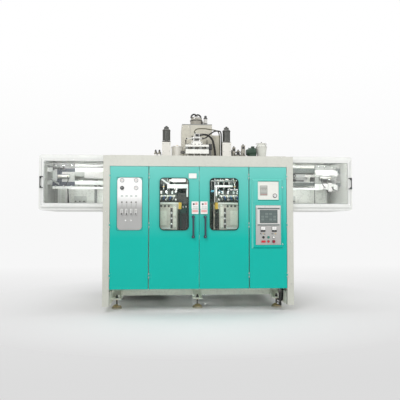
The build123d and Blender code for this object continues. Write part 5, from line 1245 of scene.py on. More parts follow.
class MACHINE_OT_moulds(bpy.types.Operator):
    """Adds a water manifold with its nipples and lines, bolts and small blocks to the front platens."""

    bl_idname = "machine.moulds"
    bl_label = "Moulds"

    def execute(self, context):
        for side, sign in SIDES:
            mould = Piece(f"{side} mould fittings", sign)
            for x, z in product((0.345, 0.495, 0.645), (1.7, 1.826)):
                mould.hex_bolt((x, -0.8595, z), FORWARD, 0.012, "chrome", 0.011)
            mould.box((0.352, -0.884, 1.742), (0.638, -0.86, 1.772), "pale grey parts", 0.003)
            for step in range(6):
                x = 0.372 + 0.05 * step
                mould.turned((x, -0.884, 1.757), FORWARD, nipple(0.009, 0.008, 0.009, 0.006, 0.02),
                             "brass fitting", 12)
                mould.line([(x, -0.902, 1.757), (x, -0.928, 1.748), (x + 0.012, -0.932, 1.712),
                            (x + 0.022, -0.905, 1.69), (x + 0.022, -0.862, 1.688)], 0.0065,
                           ("pale hose", "blue line")[step % 2])
            for x, tall in ((0.385, 0.05), (0.47, 0.034), (0.56, 0.046), (0.62, 0.03)):
                mould.box((x, -0.872, 1.79), (x + 0.03, -0.858, 1.79 + tall), "white parts", 0.003)
            if sign > 0:
                mould.box((0.33, -0.874, 1.78), (0.348, -0.858, 1.846), "white parts", 0.003)
                mould.tube([(0.332, -0.872, 1.838), (0.342, -0.892, 1.846), (0.372, -0.888, 1.834),
                            (0.392, -0.872, 1.812)], 0.007, "blue hose", steps=6)
            mould.done(f"{side}_front_clamp")
        return {"FINISHED"}


class MACHINE_OT_blow_fittings(bpy.types.Operator):
    """Adds clamp collars, air nipples, lines and a front bar to the blow pin crossheads."""

    bl_idname = "machine.blow_fittings"
    bl_label = "Blow fittings"

    def execute(self, context):
        for side, sign in SIDES:
            head = Piece(f"{side} crosshead fittings", sign)
            for step in range(4):
                x = 0.36 + 0.09 * step
                head.turned((x, HEAD_Y, 2.01), DOWN, cap(0.02, 0.022, 0.026, 0.014), "satin aluminium", 20)
                head.turned((x, HEAD_Y, 1.934), DOWN, cap(0.0165, 0.018, 0.02, 0.013), "brass fitting", 18)
                head.turned((x, -0.641, 2.025), FORWARD, nipple(0.009, 0.01, 0.011, 0.006, 0.02),
                            "brass fitting", 10)
                head.line([(x, -0.658, 2.025), (x, -0.69, 2.02), (x + 0.01, -0.7, 2.06),
                           (x - 0.006, -0.686, 2.095)], 0.006)
            head.box((0.345, -0.706, 2.092), (0.645, -0.672, 2.118), "white parts", 0.003)
            for x in (0.385, 0.605):
                head.rod((x, -0.68, 2.04), (x, -0.68, 2.094), 0.006, "chrome", 12)
            head.turned((STATION_X, HEAD_Y, 2.04), UP, cap(0.034, 0.012, 0.016, 0.026), "satin aluminium", 24)
            head.done(f"{side}_ram")
        return {"FINISHED"}


class MACHINE_OT_window_depth(bpy.types.Operator):
    """Hangs the trays, struts and cable loops behind the windows, and the green panels between the clamps."""

    bl_idname = "machine.window_depth"
    bl_label = "Upper inside fittings"

    def execute(self, context):
        tray = Piece("upper tray")
        tray.boxes("white parts", 0.003, ((-0.482, -0.985, 1.872), (-0.148, -0.96, 1.936)),
                   ((0.267, -0.985, 1.892), (0.548, -0.96, 1.923)),
                   ((-0.413, -1.0, 1.968), (-0.192, -0.986, 2.026)))
        for x, low in ((-0.47, 1.936), (-0.16, 1.936), (0.28, 1.923), (0.536, 1.923)):
            tray.box((x - 0.008, -0.978, low), (x + 0.008, -0.968, 2.241), "mid grey parts")
        tray.prism([(-0.585, -0.99, 2.012), (-0.556, -0.99, 2.022), (-0.43, -0.99, 1.93),
                    (-0.452, -0.99, 1.914)], BACK, 0.01, "white parts")
        tray.boxes("dark steel", 0.003, ((-0.6, -0.975, 1.93), (-0.48, -0.965, 2.07)),
                   ((-0.3, 0.0, 1.66), (-0.11, 0.02, 1.86)))
        tray.rod((-0.375, -0.975, 1.95), (-0.26, -0.975, 2.03), 0.01, "dark steel", 12)
        for x in (-0.44, -0.34, -0.24, 0.32, 0.41, 0.5):
            tray.turned((x, -0.96, 1.905), BACK, cap(0.012, 0.02, 0.022, 0.008), "dark steel", 12)
            tray.line([(x, -0.975, 1.874), (x + 0.004, -0.975, 1.85), (x + 0.024, -0.982, 1.832),
                       (x + 0.052, -0.98, 1.85), (x + 0.056, -0.975, 1.874)], 0.006)
        for x0, x1, z0, z1, kind in ((-0.35, -0.322, 1.818, 1.872, "white parts"),
                                     (-0.178, -0.149, 1.737, 1.872, "white parts"),
                                     (0.203, 0.253, 1.815, 1.846, "blue hose"),
                                     (0.275, 0.301, 1.752, 1.892, "white parts"),
                                     (0.208, 0.222, 1.846, 1.98, "dark steel")):
            tray.box((x0, -0.982, z0), (x1, -0.966, z1), kind, 0.003)
        tray.box((0.2, -0.985, 1.98), (0.56, -0.965, 2.0), "mid grey parts", 0.003)
        tray.boxes("deep green", 0.003, ((-0.3, 0.0, 1.18), (-0.11, 0.02, 1.65)),
                   ((0.27, 0.0, 1.18), (0.43, 0.02, 1.7)))
        tray.box((-0.232, -0.022, 1.2), (-0.138, 0.0, 1.5), "black plastic", 0.004)
        tray.boxes("white parts", 0.002, ((-0.212, -0.02, 1.596), (-0.19, 0.0, 1.628)),
                   ((-0.16, -0.02, 1.604), (-0.14, 0.0, 1.632)))
        for x, low, high, kind in ((-0.286, 1.19, 1.64, "motor green"), (-0.262, 1.19, 1.6, "black rubber"),
                                   (-0.122, 1.19, 1.7, "black rubber"), (0.288, 1.19, 1.69, "motor green"),
                                   (0.312, 1.19, 1.66, "black rubber"), (0.336, 1.19, 1.69, "olive hose"),
                                   (0.362, 1.19, 1.62, "black rubber"), (0.388, 1.19, 1.69, "motor green"),
                                   (0.412, 1.19, 1.66, "black rubber")):
            tray.rod((x, -0.01, low), (x, -0.01, high), 0.009, kind, 12)
        tray.done("machine")
        return {"FINISHED"}


class MACHINE_OT_blow_cylinders(bpy.types.Operator):
    """Adds end caps, port fittings, air lines and bolts to the two blow cylinders on the roof."""

    bl_idname = "machine.blow_cylinders"
    bl_label = "Blow cylinders"

    def execute(self, context):
        for side, sign in SIDES:
            detail = Piece(f"{side} blow cylinder fittings", sign)
            detail.turned((STATION_X, HEAD_Y, 2.652), UP, cap(0.069, 0.018, 0.022, 0.066), "dark steel", 32)
            detail.turned((STATION_X, HEAD_Y, 2.836), UP, cap(0.0655, 0.018, 0.022, 0.063), "dark steel", 32)
            for step in range(4):
                detail.hex_bolt((*around(STATION_X, HEAD_Y, 0.06, math.radians(45 + 90 * step)), 2.652), UP,
                                0.0075, "chrome", 0.024)
            for z in (2.69, 2.82):
                detail.turned((STATION_X + 0.02, -0.546, z), BACK, nipple(0.012, 0.018, 0.02, 0.008, 0.03),
                              "dark steel", 12)
            detail.tube([(STATION_X + 0.02, -0.518, 2.82), (STATION_X + 0.026, -0.488, 2.8),
                         (STATION_X + 0.034, -0.484, 2.6), (STATION_X + 0.04, -0.488, 2.43),
                         (STATION_X + 0.04, -0.48, DECK)], 0.006)
            detail.tube([(STATION_X + 0.02, -0.518, 2.69), (STATION_X + 0.012, -0.492, 2.66),
                         (STATION_X + 0.006, -0.488, 2.5), (STATION_X, -0.494, DECK)], 0.006)
            for x, z in product((STATION_X - 0.052, STATION_X + 0.052), (2.385, 2.5, 2.618)):
                detail.socket_screw((x, -0.6725, z), 0.007, finish="ground steel")
            detail.box((STATION_X - 0.09, -0.69, DECK), (STATION_X + 0.09, -0.51, DECK + 0.01),
                       "white parts", 0.003)
            for x, y in product((STATION_X - 0.081, STATION_X + 0.081), (-0.68, -0.52)):
                detail.hex_bolt((x, y, DECK + 0.01), UP, 0.007, "dark steel", 0.007)
            detail.done("machine")
        return {"FINISHED"}


class MACHINE_OT_die_head(bpy.types.Operator):
    """Adds plate bolts, spacers, die rings, heater blocks with their leads and side boxes to the die head."""

    bl_idname = "machine.die_head"
    bl_label = "Die head"

    def execute(self, context):
        head = Piece("die head fittings")
        for step in range(6):
            x = -0.15 + 0.06 * step
            head.hex_bolt((x, -0.772, 2.592), UP, 0.012, "dark steel", 0.012)
            head.rod((x, -0.772, 2.513), (x, -0.772, 2.558), 0.014, "dark steel", 16)
        for x in (-0.165, -0.055, 0.055, 0.165):
            head.box((x - 0.02, -0.806, 2.516), (x + 0.02, -0.78, 2.555), "mid grey parts", 0.003)
        for x in (-0.15, -0.05, 0.05, 0.15):
            head.turned((x, -0.79, 2.354), UP, cap(0.022, 0.01, 0.013, 0.016), "ground steel", 20)
            head.turned((x, -0.79, 2.43), UP, disc(0.019, 0.012), "ground steel", 20)
        for x in (-0.105, 0.0, 0.105):
            head.box((x - 0.028, -0.735, 2.33), (x + 0.028, -0.709, 2.425), "dark steel", 0.004)
            head.turned((x, -0.735, 2.378), FORWARD, cap(0.01, 0.015, 0.018, 0.007), "brass fitting", 14)
            head.tube([(x, -0.752, 2.378), (x, -0.785, 2.372), (x + 0.02, -0.8, 2.358),
                       (x + 0.045, -0.792, DECK)], 0.006)
        for x, z in product((-0.135, -0.045, 0.045, 0.135), (2.035, 2.165)):
            head.box((x - 0.012, -0.655, z - 0.018), (x + 0.012, -0.64, z + 0.018), "mid grey parts", 0.002)
            head.line([(x, -0.656, z), (x + 0.006, -0.682, z + 0.02), (x + 0.01, -0.676, z + 0.08),
                       (x + 0.006, -0.65, 2.3)], 0.004, "white plastic")
        for x, z in product((-0.086, 0.086), (2.61, 2.642)):
            head.socket_screw((x * 0.88, -0.6905, z), 0.007, finish="dark steel")
        head.box((0.186, -0.79, 2.515), (0.24, -0.7, 2.606), "black plastic", 0.004)
        head.boxes("dark steel", 0.004, ((0.186, -0.78, 2.356), (0.232, -0.7, 2.505)),
                   ((-0.262, -0.62, 2.47), (-0.196, -0.58, 2.512)))
        head.rod((-0.2, -0.6, 2.49), (-0.184, -0.6, 2.49), 0.01, "dark steel", 12)
        for step in range(3):
            y = -0.765 + 0.024 * step
            head.line([(0.205, y, 2.52), (0.228, y - 0.01, 2.47), (0.222, y, 2.4), (0.236, y + 0.01, DECK)],
                      0.005)
        head.done("machine")
        return {"FINISHED"}


class MACHINE_OT_servo(bpy.types.Operator):
    """Adds body screws, a valve block, connectors and the collar of the side rod to the parison servo."""

    bl_idname = "machine.servo"
    bl_label = "Parison servo"

    def execute(self, context):
        servo = Piece("servo fittings")
        for x, z in product((-0.046, 0.046), (2.67, 2.728)):
            servo.socket_screw((x, -0.6605, z), 0.008)
        servo.box((-0.04, -0.672, 2.682), (0.04, -0.6595, 2.716), "dark steel", 0.003)
        for x in (-0.024, 0.0, 0.024):
            servo.turned((x, -0.672, 2.699), FORWARD, cap(0.008, 0.006, 0.008, 0.005), "dark steel", 12)
        servo.box((-0.02, -0.657, 2.75), (0.036, -0.6445, 2.788), "black plastic", 0.003)
        servo.turned((-0.07, -0.66, 2.7), FORWARD, cap(0.012, 0.014, 0.018, 0.008), "black plastic", 16)
        servo.turned((-0.072, -0.61, 2.744), UP, cap(0.01, 0.022, 0.026, 0.007), "black plastic", 16)
        servo.ring((-0.155, -0.61, 2.72), RIGHT, 0.0065, 0.0145, 0.004, "chrome", 20)
        servo.done("machine")
        return {"FINISHED"}


class MACHINE_OT_hoses(bpy.types.Operator):
    """Lays the smooth hoses of the roof, the loader and the right leg, which are held at both ends."""

    bl_idname = "machine.hoses"
    bl_label = "Hydraulic hoses"

    def execute(self, context):
        lines = Piece("hydraulic hoses")
        lines.hose([(0.048, -0.6, 2.78), (0.11, -0.6, 2.79), (0.19, -0.602, 2.776), (0.262, -0.604, 2.7),
                    (0.296, -0.604, 2.56), (0.31, -0.602, 2.44), (0.318, -0.6, DECK)], 0.017)
        lines.hose([(-0.02, -0.6, 2.798), (-0.034, -0.6, 2.84), (0.01, -0.6, 2.88), (0.12, -0.598, 2.89),
                    (0.23, -0.592, 2.876), (0.32, -0.586, 2.862), (0.372, -0.582, 2.82), (0.386, -0.58, 2.64),
                    (0.386, -0.58, DECK)], 0.009, "olive hose")
        lines.hose([(0.087, -0.61, 2.72), (0.15, -0.612, 2.734), (0.215, -0.618, 2.79), (0.29, -0.622, 2.838),
                    (0.36, -0.624, 2.846), (0.402, -0.624, 2.81), (0.408, -0.624, 2.6),
                    (0.408, -0.624, DECK)], 0.011)
        for x, y, span in ((-0.034, 0.48, 0.1), (0.038, 0.52, 0.104)):
            lines.hose([(x, y, 3.29), (x + 0.004, y, 3.335), (x + span / 2, y, 3.363),
                        (x + span - 0.004, y, 3.335), (x + span, y, 3.29)], 0.014)
        lines.tube([(0.15, 0.5, 3.29), (0.158, 0.48, 3.24), (0.166, 0.44, 3.16), (0.15, 0.42, 3.06),
                    (0.14, 0.4, 3.012)], 0.012)
        lines.hose([(1.215, -1.272, 0.343), (1.216, -1.279, 0.27), (1.224, -1.272, 0.17),
                    (1.238, -1.235, 0.105), (1.25, -1.12, 0.086), (1.255, -0.96, 0.086)], 0.017)
        for x, drop in ((1.32, 0.0), (1.293, 0.006)):
            lines.hose([(x, -1.01, 0.6), (x, -1.016, 0.42), (x, -1.012, 0.24), (x, -0.985, 0.14 + drop),
                        (x, -0.88, 0.112 + drop), (x, -0.72, 0.112 + drop), (x, -0.56, 0.112 + drop)], 0.013)
        lines.done("machine", replaces=("hydraulic_hoses",))
        return {"FINISHED"}


class MACHINE_OT_cover(bpy.types.Operator):
    """Adds seams, a dark top edge, screws, two grips and louvres to the extruder's cover."""

    bl_idname = "machine.cover"
    bl_label = "Extruder cover"

    def execute(self, context):
        cover = Piece("cover fittings")
        front = -0.35
        cover.box((-0.233, front - 0.002, 2.998), (0.28, 0.351, 3.011), "mid grey parts", 0.002)
        cover.boxes("mid grey parts", 0.0, ((-0.096, front - 0.0015, 2.36), (-0.092, front + 0.001, 2.998)),
                    ((-0.2335, front - 0.0015, 2.353), (0.2795, front + 0.001, 2.366)),
                    ((0.43, -0.24, 2.832), (0.432, 0.26, 2.84)))
        for x, z in product((-0.215, -0.112, -0.076, 0.262), (2.4, 2.68, 2.97)):
            cover.socket_screw((x, front, z), 0.006)
        for x in (-0.17, 0.19):
            cover.tube([(x, front, 2.64), (x, front - 0.026, 2.648), (x, front - 0.03, 2.69),
                        (x, front - 0.026, 2.732), (x, front, 2.74)], 0.006, "black plastic")
        for side, x in (("left", -0.232), ("right", 0.279)):
            out = -1 if side == "left" else 1
            low = 2.42 if side == "left" else 2.86
            for row in range(6 if side == "left" else 3):
                z = low + 0.045 * row
                cover.box((x, -0.18, z), (x + out * 0.004, 0.18, z + 0.014), "mid grey parts", 0.001)
        for y, z in product((-0.23, 0.01, 0.25), (2.38, 2.6, 2.815)):
            cover.socket_screw((0.43, y, z), 0.006, RIGHT)
        for x, z in product((0.3, 0.41), (2.38, 2.815)):
            cover.socket_screw((x, -0.25, z), 0.006)
        cover.done("machine")
        return {"FINISHED"}


class MACHINE_OT_loader(bpy.types.Operator):
    """Adds bands, clips, a sight glass, the motor's cap and a lid handle to the hopper and its loader."""

    bl_idname = "machine.loader"
    bl_label = "Hopper loader"

    def execute(self, context):
        x, y = 0.06, 0.52
        loader = Piece("loader fittings")
        for z in (2.852, 2.99):
            loader.ring((x, y, z), UP, 0.149, 0.156, 0.012, "satin aluminium", 48)
        for z in (3.016, 3.12, 3.236):
            loader.ring((x, y, z), UP, 0.111, 0.118, 0.014, "dark steel", 40)
        for angle in (200, 290, 340):
            turn = math.radians(angle)
            px, py = around(x, y, 0.118, turn)
            loader.box((px - 0.01, py - 0.01, 3.104), (px + 0.01, py + 0.01, 3.15), "chrome", 0.003)
        loader.turned((x, y - 0.149, 2.92), FORWARD, cap(0.04, 0.006, 0.008, 0.036), "satin aluminium", 28)
        loader.turned((x, y - 0.157, 2.92), FORWARD, disc(0.031, 0.001), "screen dark field", 28)
        loader.turned((x, y, 3.262), UP, cap(0.098, 0.006, 0.01, 0.088), "dark steel", 32)
        loader.turned((0.234, y, 3.282), UP, [(0, 0.036), (0.016, 0.036), (0.024, 0.026), (0.06, 0.022),
                                              (0.064, 0.018)], "black plastic", 24)
        loader.ring((0.234, y, 3.19), UP, 0.0335, 0.0375, 0.01, "black plastic", 24)
        loader.rod((0.165, y, 3.232), (0.205, y, 3.232), 0.011, "satin aluminium", 14)
        loader.tube([(x - 0.04, y - 0.1, 3.262), (x - 0.044, y - 0.106, 3.285), (x, y - 0.11, 3.296),
                     (x + 0.044, y - 0.106, 3.285), (x + 0.04, y - 0.1, 3.262)], 0.005, "chrome")
        loader.done("machine")
        return {"FINISHED"}


class MACHINE_OT_deck_fittings(bpy.types.Operator):
    """Dresses the roof's air drum, valve groups, vacuum pump and filter canister, and lays the cable duct."""

    bl_idname = "machine.deck_fittings"
    bl_label = "Roof fittings"

    def execute(self, context):
        drum = Piece("air drum fittings")
        drum.ring((-0.318, -0.455, 2.588), UP, 0.091, 0.097, 0.014, "satin aluminium", 40)
        drum.ring((-0.318, -0.455, 2.36), UP, 0.091, 0.097, 0.01, "satin aluminium", 40)
        drum.turned((-0.318, -0.455, 2.616), UP, nipple(0.02, 0.006, 0.008, 0.012, 0.018),
                    "brass fitting", 12)
        for x0, x1, top, kind in ((-0.692, -0.655, 2.44, "valve block"),
                                  (-0.648, -0.612, 2.418, "dark steel"),
                                  (-0.606, -0.574, 2.436, "valve block"),
                                  (0.576, 0.592, 2.52, "black plastic"), (0.604, 0.648, 2.455, "valve block"),
                                  (0.656, 0.686, 2.425, "dark steel"), (0.692, 0.728, 2.47, "valve block"),
                                  (0.742, 0.802, 2.43, "dark steel")):
            drum.box((x0, -0.6, DECK), (x1, -0.56, top), kind, 0.004)
            drum.turned(((x0 + x1) / 2, -0.58, top), UP, nipple(0.012, 0.01, 0.014, 0.007, 0.024),
                        "dark steel", 12)
        drum.turned((0.76, -0.6, 2.5), FORWARD, cap(0.034, 0.02, 0.024, 0.028), "valve block", 24)
        drum.rod((0.76, -0.59, 2.43), (0.76, -0.59, 2.48), 0.008, "dark steel", 12)
        drum.done("machine")

        valves = Piece("valve fittings")
        for x, z in ((0.616, 2.575), (0.688, 2.52), (0.77, 2.61)):
            valves.turned((x, -0.62, z), UP, nipple(0.014, 0.012, 0.014, 0.009, 0.024), "dark steel",
                          6, False)
            valves.box((x - 0.018, -0.6545, z - 0.06), (x + 0.018, -0.6495, z - 0.02), "black plastic", 0.002)
            valves.socket_screw((x, -0.6505, z - 0.075), 0.006)
            valves.line([(x, -0.652, 2.47), (x, -0.69, 2.462), (x + 0.01, -0.704, 2.41),
                         (x + 0.016, -0.7, DECK)], 0.006)
        valves.tube([(0.63, -0.56, 2.476), (0.65, -0.6, 2.5), (0.668, -0.664, 2.48), (0.65, -0.69, 2.43),
                     (0.64, -0.69, DECK)], 0.009, "black rubber", steps=6, segments=8)
        for x, tall in ((0.6, 0.04), (0.655, 0.085), (0.722, 0.06), (0.826, 0.05), (0.985, 0.065)):
            valves.box((x - 0.018, -0.73, DECK), (x + 0.018, -0.692, DECK + tall), "valve metal", 0.004)
            valves.turned((x, -0.712, DECK + tall), UP, cap(0.01, 0.01, 0.012, 0.006), "dark steel", 12)
        for x in (-0.668, -0.607):
            valves.turned((x, -0.68, 2.495), UP, [(0, 0.018), (0.008, 0.018), (0.012, 0.012), (0.024, 0.01)],
                          "black plastic", 16)
            valves.line([(x, -0.684, 2.48), (x + 0.012, -0.715, 2.478), (x + 0.024, -0.728, 2.44),
                         (x + 0.022, -0.726, DECK)], 0.006)
        valves.box((-0.7, -0.728, 2.4), (-0.576, -0.719, 2.44), "white parts", 0.002)
        valves.box((-0.78, -0.7, DECK), (-0.715, -0.64, 2.42), "black plastic", 0.004)
        valves.box((-0.57, -0.715, DECK), (-0.588, -0.64, 2.405), "dark steel", 0.004)
        for step in range(4):
            x = -0.69 + 0.028 * step
            valves.socket_screw((x, -0.728, 2.42), 0.005)
        valves.done("machine")

        pump = Piece("vacuum pump fittings")
        for step in range(20):
            turn = 2 * math.pi * step / 20
            y, z = around(PUMP_Y, 2.5, 0.0705, turn)
            pump.rod((0.88, y, z), (0.975, y, z), 0.0035, "pump green", 6)
        pump.ring((0.864, PUMP_Y, 2.5), RIGHT, 0.07, 0.079, 0.01, "pump green", 32)
        pump.box((0.905, PUMP_Y - 0.028, 2.565), (0.96, PUMP_Y + 0.028, 2.6), "pump green", 0.004)
        pump.turned((0.932, PUMP_Y - 0.028, 2.582), FORWARD, disc(0.009, 0.012), "black plastic", 14)
        pump.done("machine")

        canister = Piece("filter fittings")
        for z in (2.64, 2.585):
            canister.ring((1.08, CANISTER_Y, z), UP, 0.09, 0.096, 0.008, "satin aluminium", 40)
        canister.turned((1.08, CANISTER_Y, 2.652), UP, nipple(0.018, 0.01, 0.014, 0.01, 0.022),
                        "black plastic", 16)
        for angle in (200, 320):
            turn = math.radians(angle)
            px, py = around(1.08, CANISTER_Y, 0.094, turn)
            canister.box((px - 0.007, py - 0.007, 2.598), (px + 0.007, py + 0.007, 2.646), "chrome", 0.002)
        canister.done("machine")

        duct = Piece("roof duct")
        duct.box((-1.2, -0.905, DECK), (1.2, -0.88, DECK + 0.022), "pale grey parts", 0.002)
        for x in (-1.05, -0.55, 0.0, 0.55, 1.05):
            duct.box((x - 0.004, -0.908, DECK), (x + 0.004, -0.878, DECK + 0.024), "mid grey parts")
        for x in (-0.95, 0.95):
            duct.ring((x, -0.7, DECK + 0.012), UP, 0.012, 0.02, 0.008, "dark steel", 20)
            duct.turned((x, -0.7, DECK), UP, disc(0.014, 0.016), "dark steel", 16)
        duct.done("machine")
        return {"FINISHED"}


class MACHINE_OT_wing_interiors(bpy.types.Operator):
    """Fills the two side guards with the posts, trays, valve blocks and hoses seen through their panes."""

    bl_idname = "machine.wing_interiors"
    bl_label = "Wing interiors"

    def execute(self, context):
        wall = -0.105
        left = Piece("left wing fittings")
        left.box((-2.385, -0.145, 2.292), (-1.445, wall, 2.33), "white parts", 0.002)
        for z in (2.27, 2.235):
            left.box((-2.385, -0.15, z), (-2.2, wall, z + 0.016), "mid grey parts", 0.002)
        left.boxes("white parts", 0.003, ((-2.21, -0.185, 1.54), (-2.172, -0.145, 2.345)),
                   ((-2.395, -0.2, 2.004), (-1.445, -0.15, 2.034)))
        # A dark strip beside the post, painted as its shadow line.
        left.box((-2.168, -0.165, 1.54), (-2.158, -0.14, 2.345), "dark steel")
        left.box((-1.88, -0.2, 2.085), (-1.445, -0.15, 2.205), "white parts", 0.006)
        left.boxes("white parts", 0.004, ((-1.86, -0.21, 2.225), (-1.445, -0.165, 2.27)),
                   ((-1.5, -0.17, 1.54), (-1.445, -0.12, 1.96)))
        left.tube([(-1.89, -0.18, 2.284), (-1.76, -0.2, 2.276), (-1.62, -0.19, 2.288), (-1.45, -0.19, 2.28)],
                  0.008)
        left.boxes("pale grey parts", 0.006, ((-2.085, -0.205, 2.12), (-1.88, -0.165, 2.235)),
                   ((-2.06, -0.17, 1.64), (-1.86, -0.115, 1.79)))
        left.boxes("mid grey parts", 0.004, ((-2.135, -0.225, 2.06), (-2.075, -0.17, 2.24)),
                   ((-2.165, -0.23, 2.04), (-1.985, -0.17, 2.085)))
        left.box((-2.09, -0.23, 2.222), (-1.89, -0.18, 2.248), "dark steel", 0.003)
        left.rod((-1.9, -0.21, 2.052), (-1.66, -0.21, 2.052), 0.013, "dark steel", 16)
        for x in (-2.165, -1.985, -1.715, -1.56):
            left.hex_bolt((x, -0.15, 1.985), FORWARD, 0.011, "dark steel", 0.01)
        left.tube([(-1.69, -0.18, 2.004), (-1.64, -0.19, 1.972), (-1.565, -0.195, 1.948),
                   (-1.49, -0.19, 1.966), (-1.45, -0.18, 1.99)], 0.01)
        left.tube([(-2.12, -0.2, 2.04), (-2.15, -0.23, 1.95), (-2.145, -0.24, 1.8), (-2.135, -0.22, 1.62),
                   (-2.13, -0.18, 1.535)], 0.009)
        left.box((-1.722, -0.14, 1.54), (-1.68, wall, 2.0), "mid grey parts", 0.003)
        for x in (-2.03, -1.96, -1.89):
            left.turned((x, -0.17, 1.7), FORWARD, cap(0.012, 0.01, 0.012, 0.008), "dark steel", 14)
            left.line([(x, -0.176, 1.645), (x, -0.182, 1.61), (x + 0.02, -0.18, 1.575),
                       (x + 0.03, -0.17, 1.535)], 0.006)
        left.done("machine")

        right = Piece("right wing fittings")
        right.box((1.445, -0.18, 2.19), (1.92, -0.14, 2.262), "mid grey parts", 0.003)
        right.tube([(1.445, -0.19, 2.2), (1.65, -0.196, 2.19), (1.86, -0.19, 2.194), (2.08, -0.18, 2.186)],
                   0.007)
        right.box((1.445, -0.165, 2.085), (1.975, -0.125, 2.186), "pale grey parts", 0.004)
        right.box((1.85, -0.215, 2.255), (2.07, -0.16, 2.312), "ivory paint", 0.006)
        for offset in (0.0, 0.03):
            right.tube([(1.69 + offset, -0.2, 2.19), (1.722 + offset, -0.215, 2.155),
                        (1.688 + offset, -0.22, 2.115), (1.72 + offset, -0.215, 2.07),
                        (1.668 + offset, -0.205, 2.03)], 0.009)
        right.box((1.445, -0.19, 2.02), (1.905, -0.14, 2.084), "dark steel", 0.004)
        right.box((1.445, -0.16, 1.985), (1.96, -0.12, 2.006), "white parts", 0.002)
        right.box((1.445, -0.15, 1.952), (2.08, -0.12, 1.962), "dark steel")
        right.box((2.1, -0.2, 2.215), (2.14, -0.15, 2.3), "white parts", 0.003)
        right.boxes("dark steel", 0.002, ((2.15, -0.17, 2.312), (2.385, -0.13, 2.332)),
                    ((2.15, -0.17, 2.25), (2.385, -0.13, 2.262)))
        right.box((2.018, -0.23, 2.03), (2.095, -0.17, 2.13), "dark steel", 0.006)
        for x, z, wide, tall in ((1.95, 2.15, 0.06, 0.04), (2.15, 2.12, 0.09, 0.06),
                                 (2.26, 2.165, 0.08, 0.05), (2.19, 2.02, 0.11, 0.06),
                                 (2.32, 1.99, 0.06, 0.08), (2.03, 1.98, 0.07, 0.045)):
            right.box((x - wide / 2, -0.235, z - tall / 2), (x + wide / 2, -0.165, z + tall / 2),
                      "white parts", 0.01)
        for x, z in ((2.24, 2.12), (2.29, 2.08), (2.2, 2.07), (2.24, 1.95)):
            right.box((x - 0.026, -0.25, z - 0.014), (x + 0.026, -0.17, z + 0.014), "dark steel", 0.004)
        right.tube([(2.2, -0.24, 1.96), (2.25, -0.25, 1.94), (2.3, -0.24, 1.9), (2.33, -0.22, 1.86)], 0.009)
        right.rod((2.108, -0.15, 1.54), (2.108, -0.15, 1.96), 0.006, "dark steel", 10)
        right.box((1.56, -0.165, 1.66), (1.76, -0.115, 1.8), "pale grey parts", 0.006)
        for x in (1.59, 1.66, 1.73):
            right.turned((x, -0.165, 1.715), FORWARD, cap(0.012, 0.01, 0.012, 0.008), "dark steel", 14)
            right.line([(x, -0.17, 1.665), (x, -0.18, 1.625), (x - 0.02, -0.18, 1.58),
                        (x - 0.03, -0.17, 1.535)], 0.006)
        right.done("machine")
        return {"FINISHED"}


class MACHINE_OT_wing_shells(bpy.types.Operator):
    """Adds screws and rear plates to the side guards, and mounts, screws and an edge strip to their doors."""

    bl_idname = "machine.wing_shells"
    bl_label = "Wing shells"

    def execute(self, context):
        for side, sign in SIDES:
            shell = Piece(f"{side} wing shell fittings", sign)
            end = 2.4
            for y, z in product((-1.08, -0.64, -0.19), (1.57, 1.94, 2.31)):
                shell.sheet_screw((end - 0.0042, y, z), RIGHT)
            for x, z in product((1.52, 1.9, 2.29), (1.56, 2.32)):
                shell.sheet_screw((x, -0.1, z), BACK)
            for x in (1.6, 1.915, 2.23):
                shell.box((x - 0.12, -0.1, 1.74), (x + 0.12, -0.0975, 2.16), "white parts", 0.001)
            shell.done("machine")
            pull = Piece(f"{side} wing pull fittings", sign)
            x = 2.372
            for z in (1.874, 2.009):
                pull.turned((x, SLIDE_FACE, z), FORWARD, cap(0.014, 0.002, 0.004, 0.01), "pull black", 18)
            for z in (1.64, 1.941, 2.25):
                pull.turned((1.408, SLIDE_FACE, z), FORWARD, [(0, 0.007), (0.0025, 0.0055)], "chrome", 14)
            pull.frame_strip(1.394, 2.356, 1.594, 2.295, -1.1895, 0.0014, 0.0035, 0.004, "grey plastic")
            pull.done(f"{side}_sliding_door")
        return {"FINISHED"}


